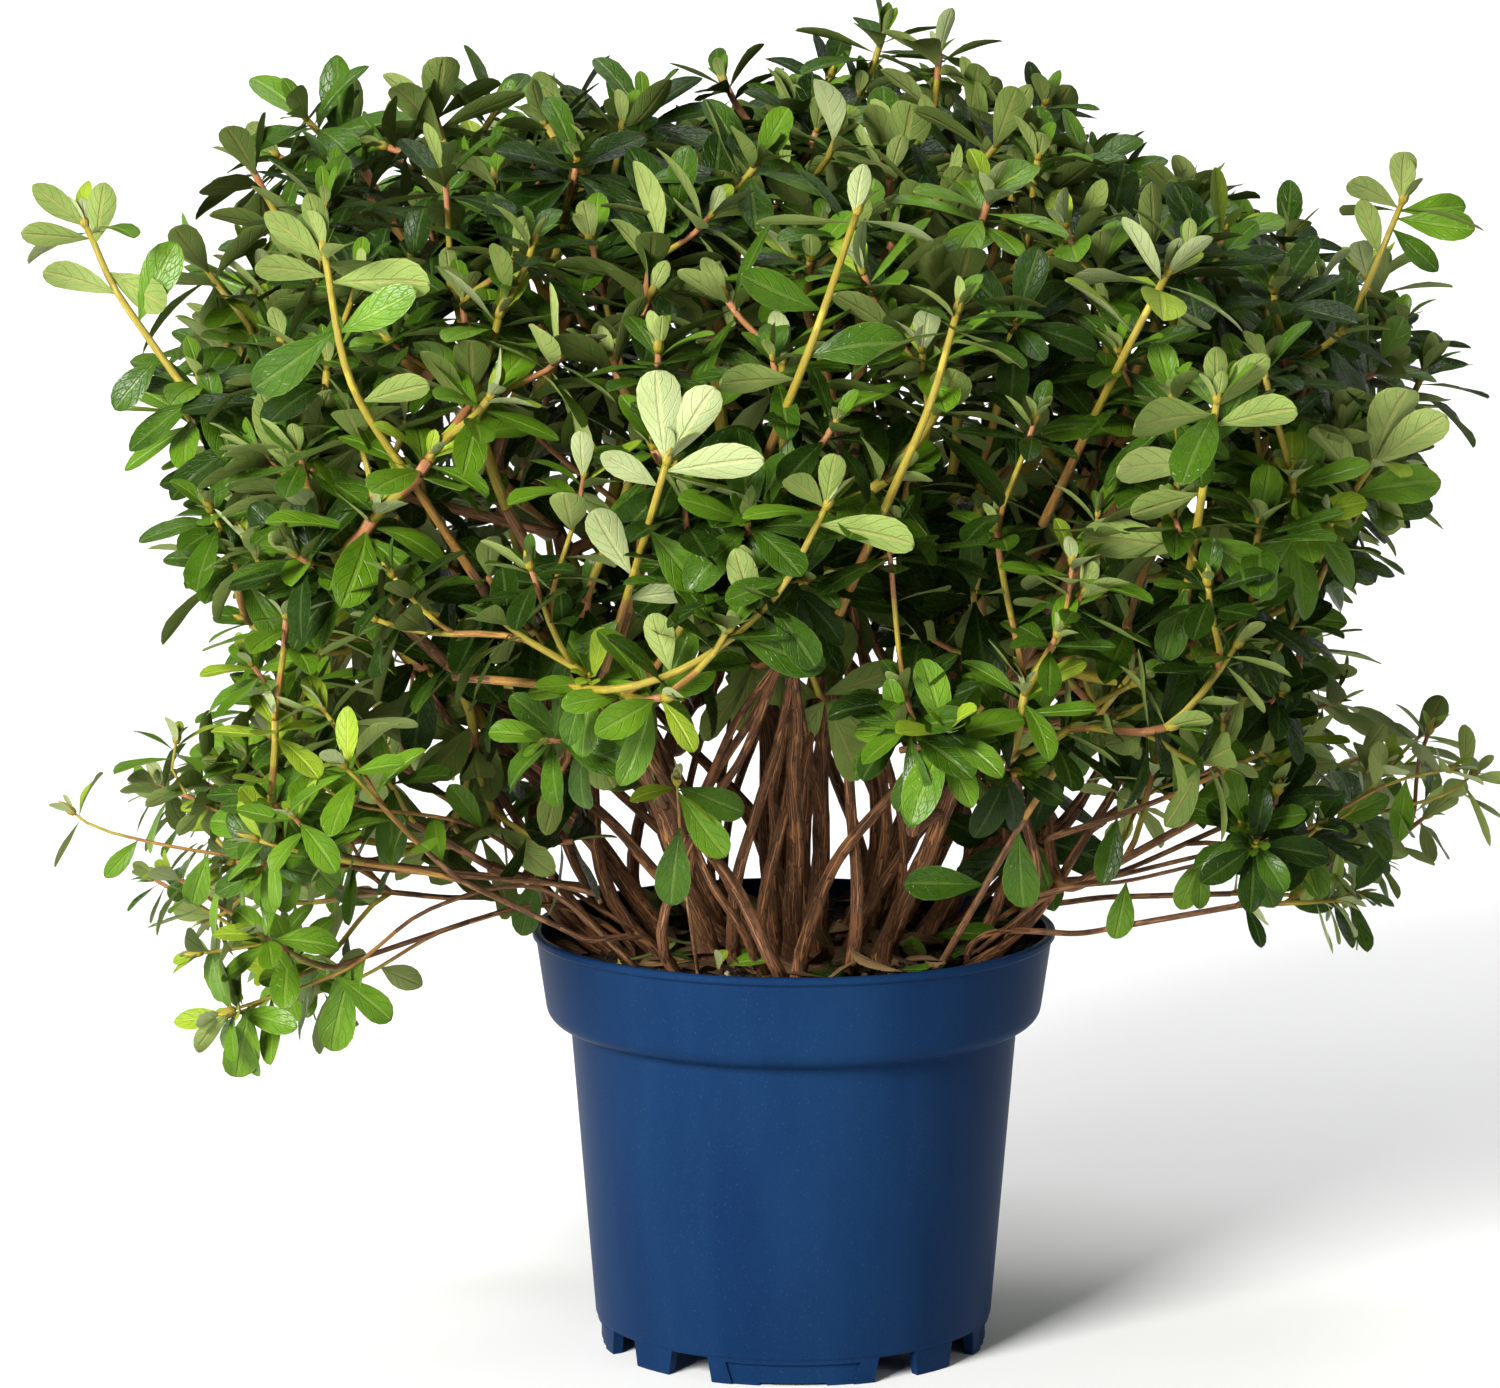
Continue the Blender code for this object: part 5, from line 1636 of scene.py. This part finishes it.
def crumbs(name, count, small, large, material, seed, outer):
    """Lumps strewn over the soil, each a rough little ball."""
    draw = random.Random(seed)
    shape = bmesh.new()
    depth, scale, change = CRUMB_BUMPS
    for _ in range(count):
        x, y = strewn(draw, outer)
        size = draw.uniform(small, large) * draw.uniform(*CRUMB_SIZES)
        made = bmesh.ops.create_icosphere(shape, subdivisions=1, radius=size)["verts"]
        stretch = Vector([draw.uniform(*CRUMB_STRETCH) for _ in range(3)])
        spin = draw.uniform(0, CRUMB_TURN)
        turn = Matrix.Rotation(spin, 3, Vector((draw.random(), draw.random(), 0.5)).normalized())
        place = Vector((x, y, soil_height(x, y) + size * CRUMB_LIFT))
        for vertex in made:
            bumpy = vertex.co * (1 + depth * noise.noise(vertex.co * scale + place * change))
            vertex.co = turn @ Vector([a * b for a, b in zip(bumpy, stretch)]) + place
    mesh = mesh_from(name, shape)
    mesh.materials.append(material)
    add_piece(name, mesh)


LEAST_HEAP = 0.0006
LITTER_SLOPE = (-0.1, 0.3)
LITTER_SHAKE = 0.5
LITTER_GAP = 0.004


def strew(leaves, count, seed, length, tints, outer, heap):
    """Fallen leaves that lie at all angles on the soil."""
    draw = random.Random(seed)
    for _ in range(count):
        foot = Vector((*strewn(draw, outer), 0))
        foot.z = soil_height(foot.x, foot.y) + draw.uniform(LEAST_HEAP, heap)
        turn = draw.uniform(0, 2 * math.pi)
        along = Vector((math.cos(turn), math.sin(turn), draw.uniform(*LITTER_SLOPE))).normalized()
        size = draw.uniform(*length)
        end = foot + along * size
        if math.hypot(end.x, end.y) > inner_radius(SOIL_LEVEL) - LITTER_GAP:
            along = Vector((-along.x, -along.y, along.z))
        normal = UP * draw.choice((1, 1, -1)) + jitter(draw, LITTER_SHAKE)
        leaves.add(foot, along, normal, size, draw.choice(tints))


# count, seed, lengths, tints, how far out, how deep they lie
DEAD_LITTER = (120, 51, (0.014, 0.03), (0, 0, 0, 1), 0.098, 0.005)
DEAD_SIDES = (DEAD_LEAF, DRY_LEAF, DEAD_LEAF, DEAD_LEAF) * 2
FALLEN_LITTER = (22, 53, (0.02, 0.034), (OLD, FULL, FULL, FRESH), 0.092, 0.006)
FRONT_NORMAL = Vector((0, -0.5, 1))
FRONT_LITTER = (  # foot, direction, length, tint
    ((-0.036, -0.083, 0.181), (-0.7, -0.7, 0.05), 0.02, FULL),
    ((-0.03, -0.08, 0.184), (0.8, -0.2, 0.35), 0.02, FRESH),
    ((-0.032, -0.082, 0.183), (-0.1, -0.6, 0.9), 0.012, NEW),
    ((-0.033, -0.08, 0.183), (0.3, 0.5, 0.9), 0.011, NEW),
    ((0.002, -0.078, 0.18), (0.9, -0.3, 0.02), 0.026, OLD),
    ((0.045, -0.07, 0.181), (0.5, -0.6, 0.1), 0.022, FULL),
    ((0.06, -0.02, 0.186), (0.7, -0.5, 0.2), 0.034, FULL),
    ((0.07, 0.01, 0.186), (0.8, -0.5, 0.3), 0.036, OLD),
)
YELLOW_LITTER = (Vector((-0.076, -0.062, 0.184)), Vector((0.2, -0.3, -0.75)), Vector((0.1, -1, 0.5)), 0.022)


def make_litter():
    """Dead leaves on the soil, a few fallen green ones, and a yellow one."""
    dead, fallen, yellow = Leaves(FINE), Leaves(FINE), Leaves(FINE)
    strew(dead, *DEAD_LITTER)
    leaf_piece("dead_leaves", (dead,), DEAD_SIDES, 52)
    strew(fallen, *FALLEN_LITTER)
    for foot, along, length, tint in FRONT_LITTER:
        fallen.add(Vector(foot), Vector(along).normalized(), FRONT_NORMAL, length, tint)
    leaf_piece("fallen_leaves", (fallen,), LEAF_MATERIALS, 54)
    foot, along, normal, length = YELLOW_LITTER
    yellow.add(foot, along.normalized(), normal, length, OLD)
    leaf_piece("yellow_leaf", (yellow,), (YELLOW_LEAF,) * 8, 55)


# ---- studio

FLOOR_PROFILE = [(-6.0, 0.0), (1.6, 0.0), (2.4, 0.1), (3.0, 0.4), (3.3, 0.8)]  # how far back, how high
FLOOR_HALF_WIDTH = 7.0
FLOOR_TONES = ((0.9, 0.9, 0.895), (0.93, 0.93, 0.925))
FLOOR_MOTTLE = 0.8
FLOOR_ROUGHNESS = 0.9
FLOOR_GLOSS = 0.1
WORLD_STRENGTH = 0.1
MIDDLE = (0.0, 0.0, 0.3)
LIGHTS = (  # name, place, aim, width, height, power, colour
    ("key", (-1.55, -2.25, 1.45), MIDDLE, 1.1, 1.1, 172.0, (1.0, 0.99, 0.97)),
    ("fill", (2.2, -1.8, 1.2), MIDDLE, 1.4, 1.8, 8.0, (0.97, 0.98, 1.0)),
    ("top", (0.1, 0.5, 2.6), MIDDLE, 1.4, 1.0, 17.0, (0.96, 0.98, 1.0)),
    ("rim", (1.9, 1.6, 1.3), MIDDLE, 0.8, 1.6, 6.0, (1.0, 1.0, 1.0)),
    ("backdrop", (0.0, 1.3, 2.6), (0.0, 3.2, 0.6), 4.0, 1.0, 88.0, (1.0, 1.0, 1.0)),
)
CAMERA_PLACE = (0.0, -2.4, 0.66)
CAMERA_AIM = (-0.0194, 0.0, 0.2904)
LENS = 132.2
SENSOR_WIDTH = 36.0
FARTHEST_SEEN = 50.0


def make_floor():
    """A pale floor that turns up into a wall far behind the plant."""
    mesh = bpy.data.meshes.new("floor")
    points = [(side * FLOOR_HALF_WIDTH, y, z) for y, z in FLOOR_PROFILE for side in (-1, 1)]
    faces = [(2 * i, 2 * i + 1, 2 * i + 3, 2 * i + 2) for i in range(len(FLOOR_PROFILE) - 1)]
    mesh.from_pydata(points, [], faces)
    mesh.shade_smooth()
    floor = link_object("floor", mesh)
    material, tree, shader = new_material("pale_floor")
    tone = mix_colors(tree, use_group(tree, MOTTLE, FLOOR_MOTTLE)["Patches"], *FLOOR_TONES)
    tree.links.new(tone, shader.inputs["Base Color"])
    shader.inputs["Roughness"].default_value = FLOOR_ROUGHNESS
    shader.inputs["Specular IOR Level"].default_value = FLOOR_GLOSS
    mesh.materials.append(material)


def look(thing, place, aim):
    thing.location = place
    thing.rotation_euler = (Vector(aim) - Vector(place)).to_track_quat("-Z", "Y").to_euler()


def area_light(name, place, aim, width, height, power, color):
    data = bpy.data.lights.new(name, "AREA")
    data.shape = "RECTANGLE"
    data.size = width
    data.size_y = height
    data.energy = power
    data.color = color
    look(link_object(name, data), place, aim)


def make_studio():
    world = bpy.data.worlds.new("studio")
    bpy.context.scene.world = world
    world.use_nodes = True
    background = world.node_tree.nodes["Background"]
    background.inputs["Color"].default_value = (1.0, 1.0, 1.0, 1.0)
    background.inputs["Strength"].default_value = WORLD_STRENGTH
    for row in LIGHTS:
        area_light(*row)
    bpy.context.scene.view_settings.view_transform = "Standard"


def make_camera():
    data = bpy.data.cameras.new("camera")
    data.lens = LENS
    data.sensor_width = SENSOR_WIDTH
    data.clip_end = FARTHEST_SEEN
    camera = link_object("camera", data)
    look(camera, CAMERA_PLACE, CAMERA_AIM)
    bpy.context.scene.camera = camera


# ---- all of it


def main():
    make_camera()
    make_studio()
    make_floor()
    make_pot()
    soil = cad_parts["soil"].data
    soil.materials.clear()
    soil.materials.append(EARTH)
    make_soil()
    for row in CRUMB_PIECES:
        crumbs(*row)
    make_litter()
    masses = lay_out_masses()
    grow_old_wood(masses)
    grow_canes(masses)
    grow_crown(masses)
    grow_features()


main()
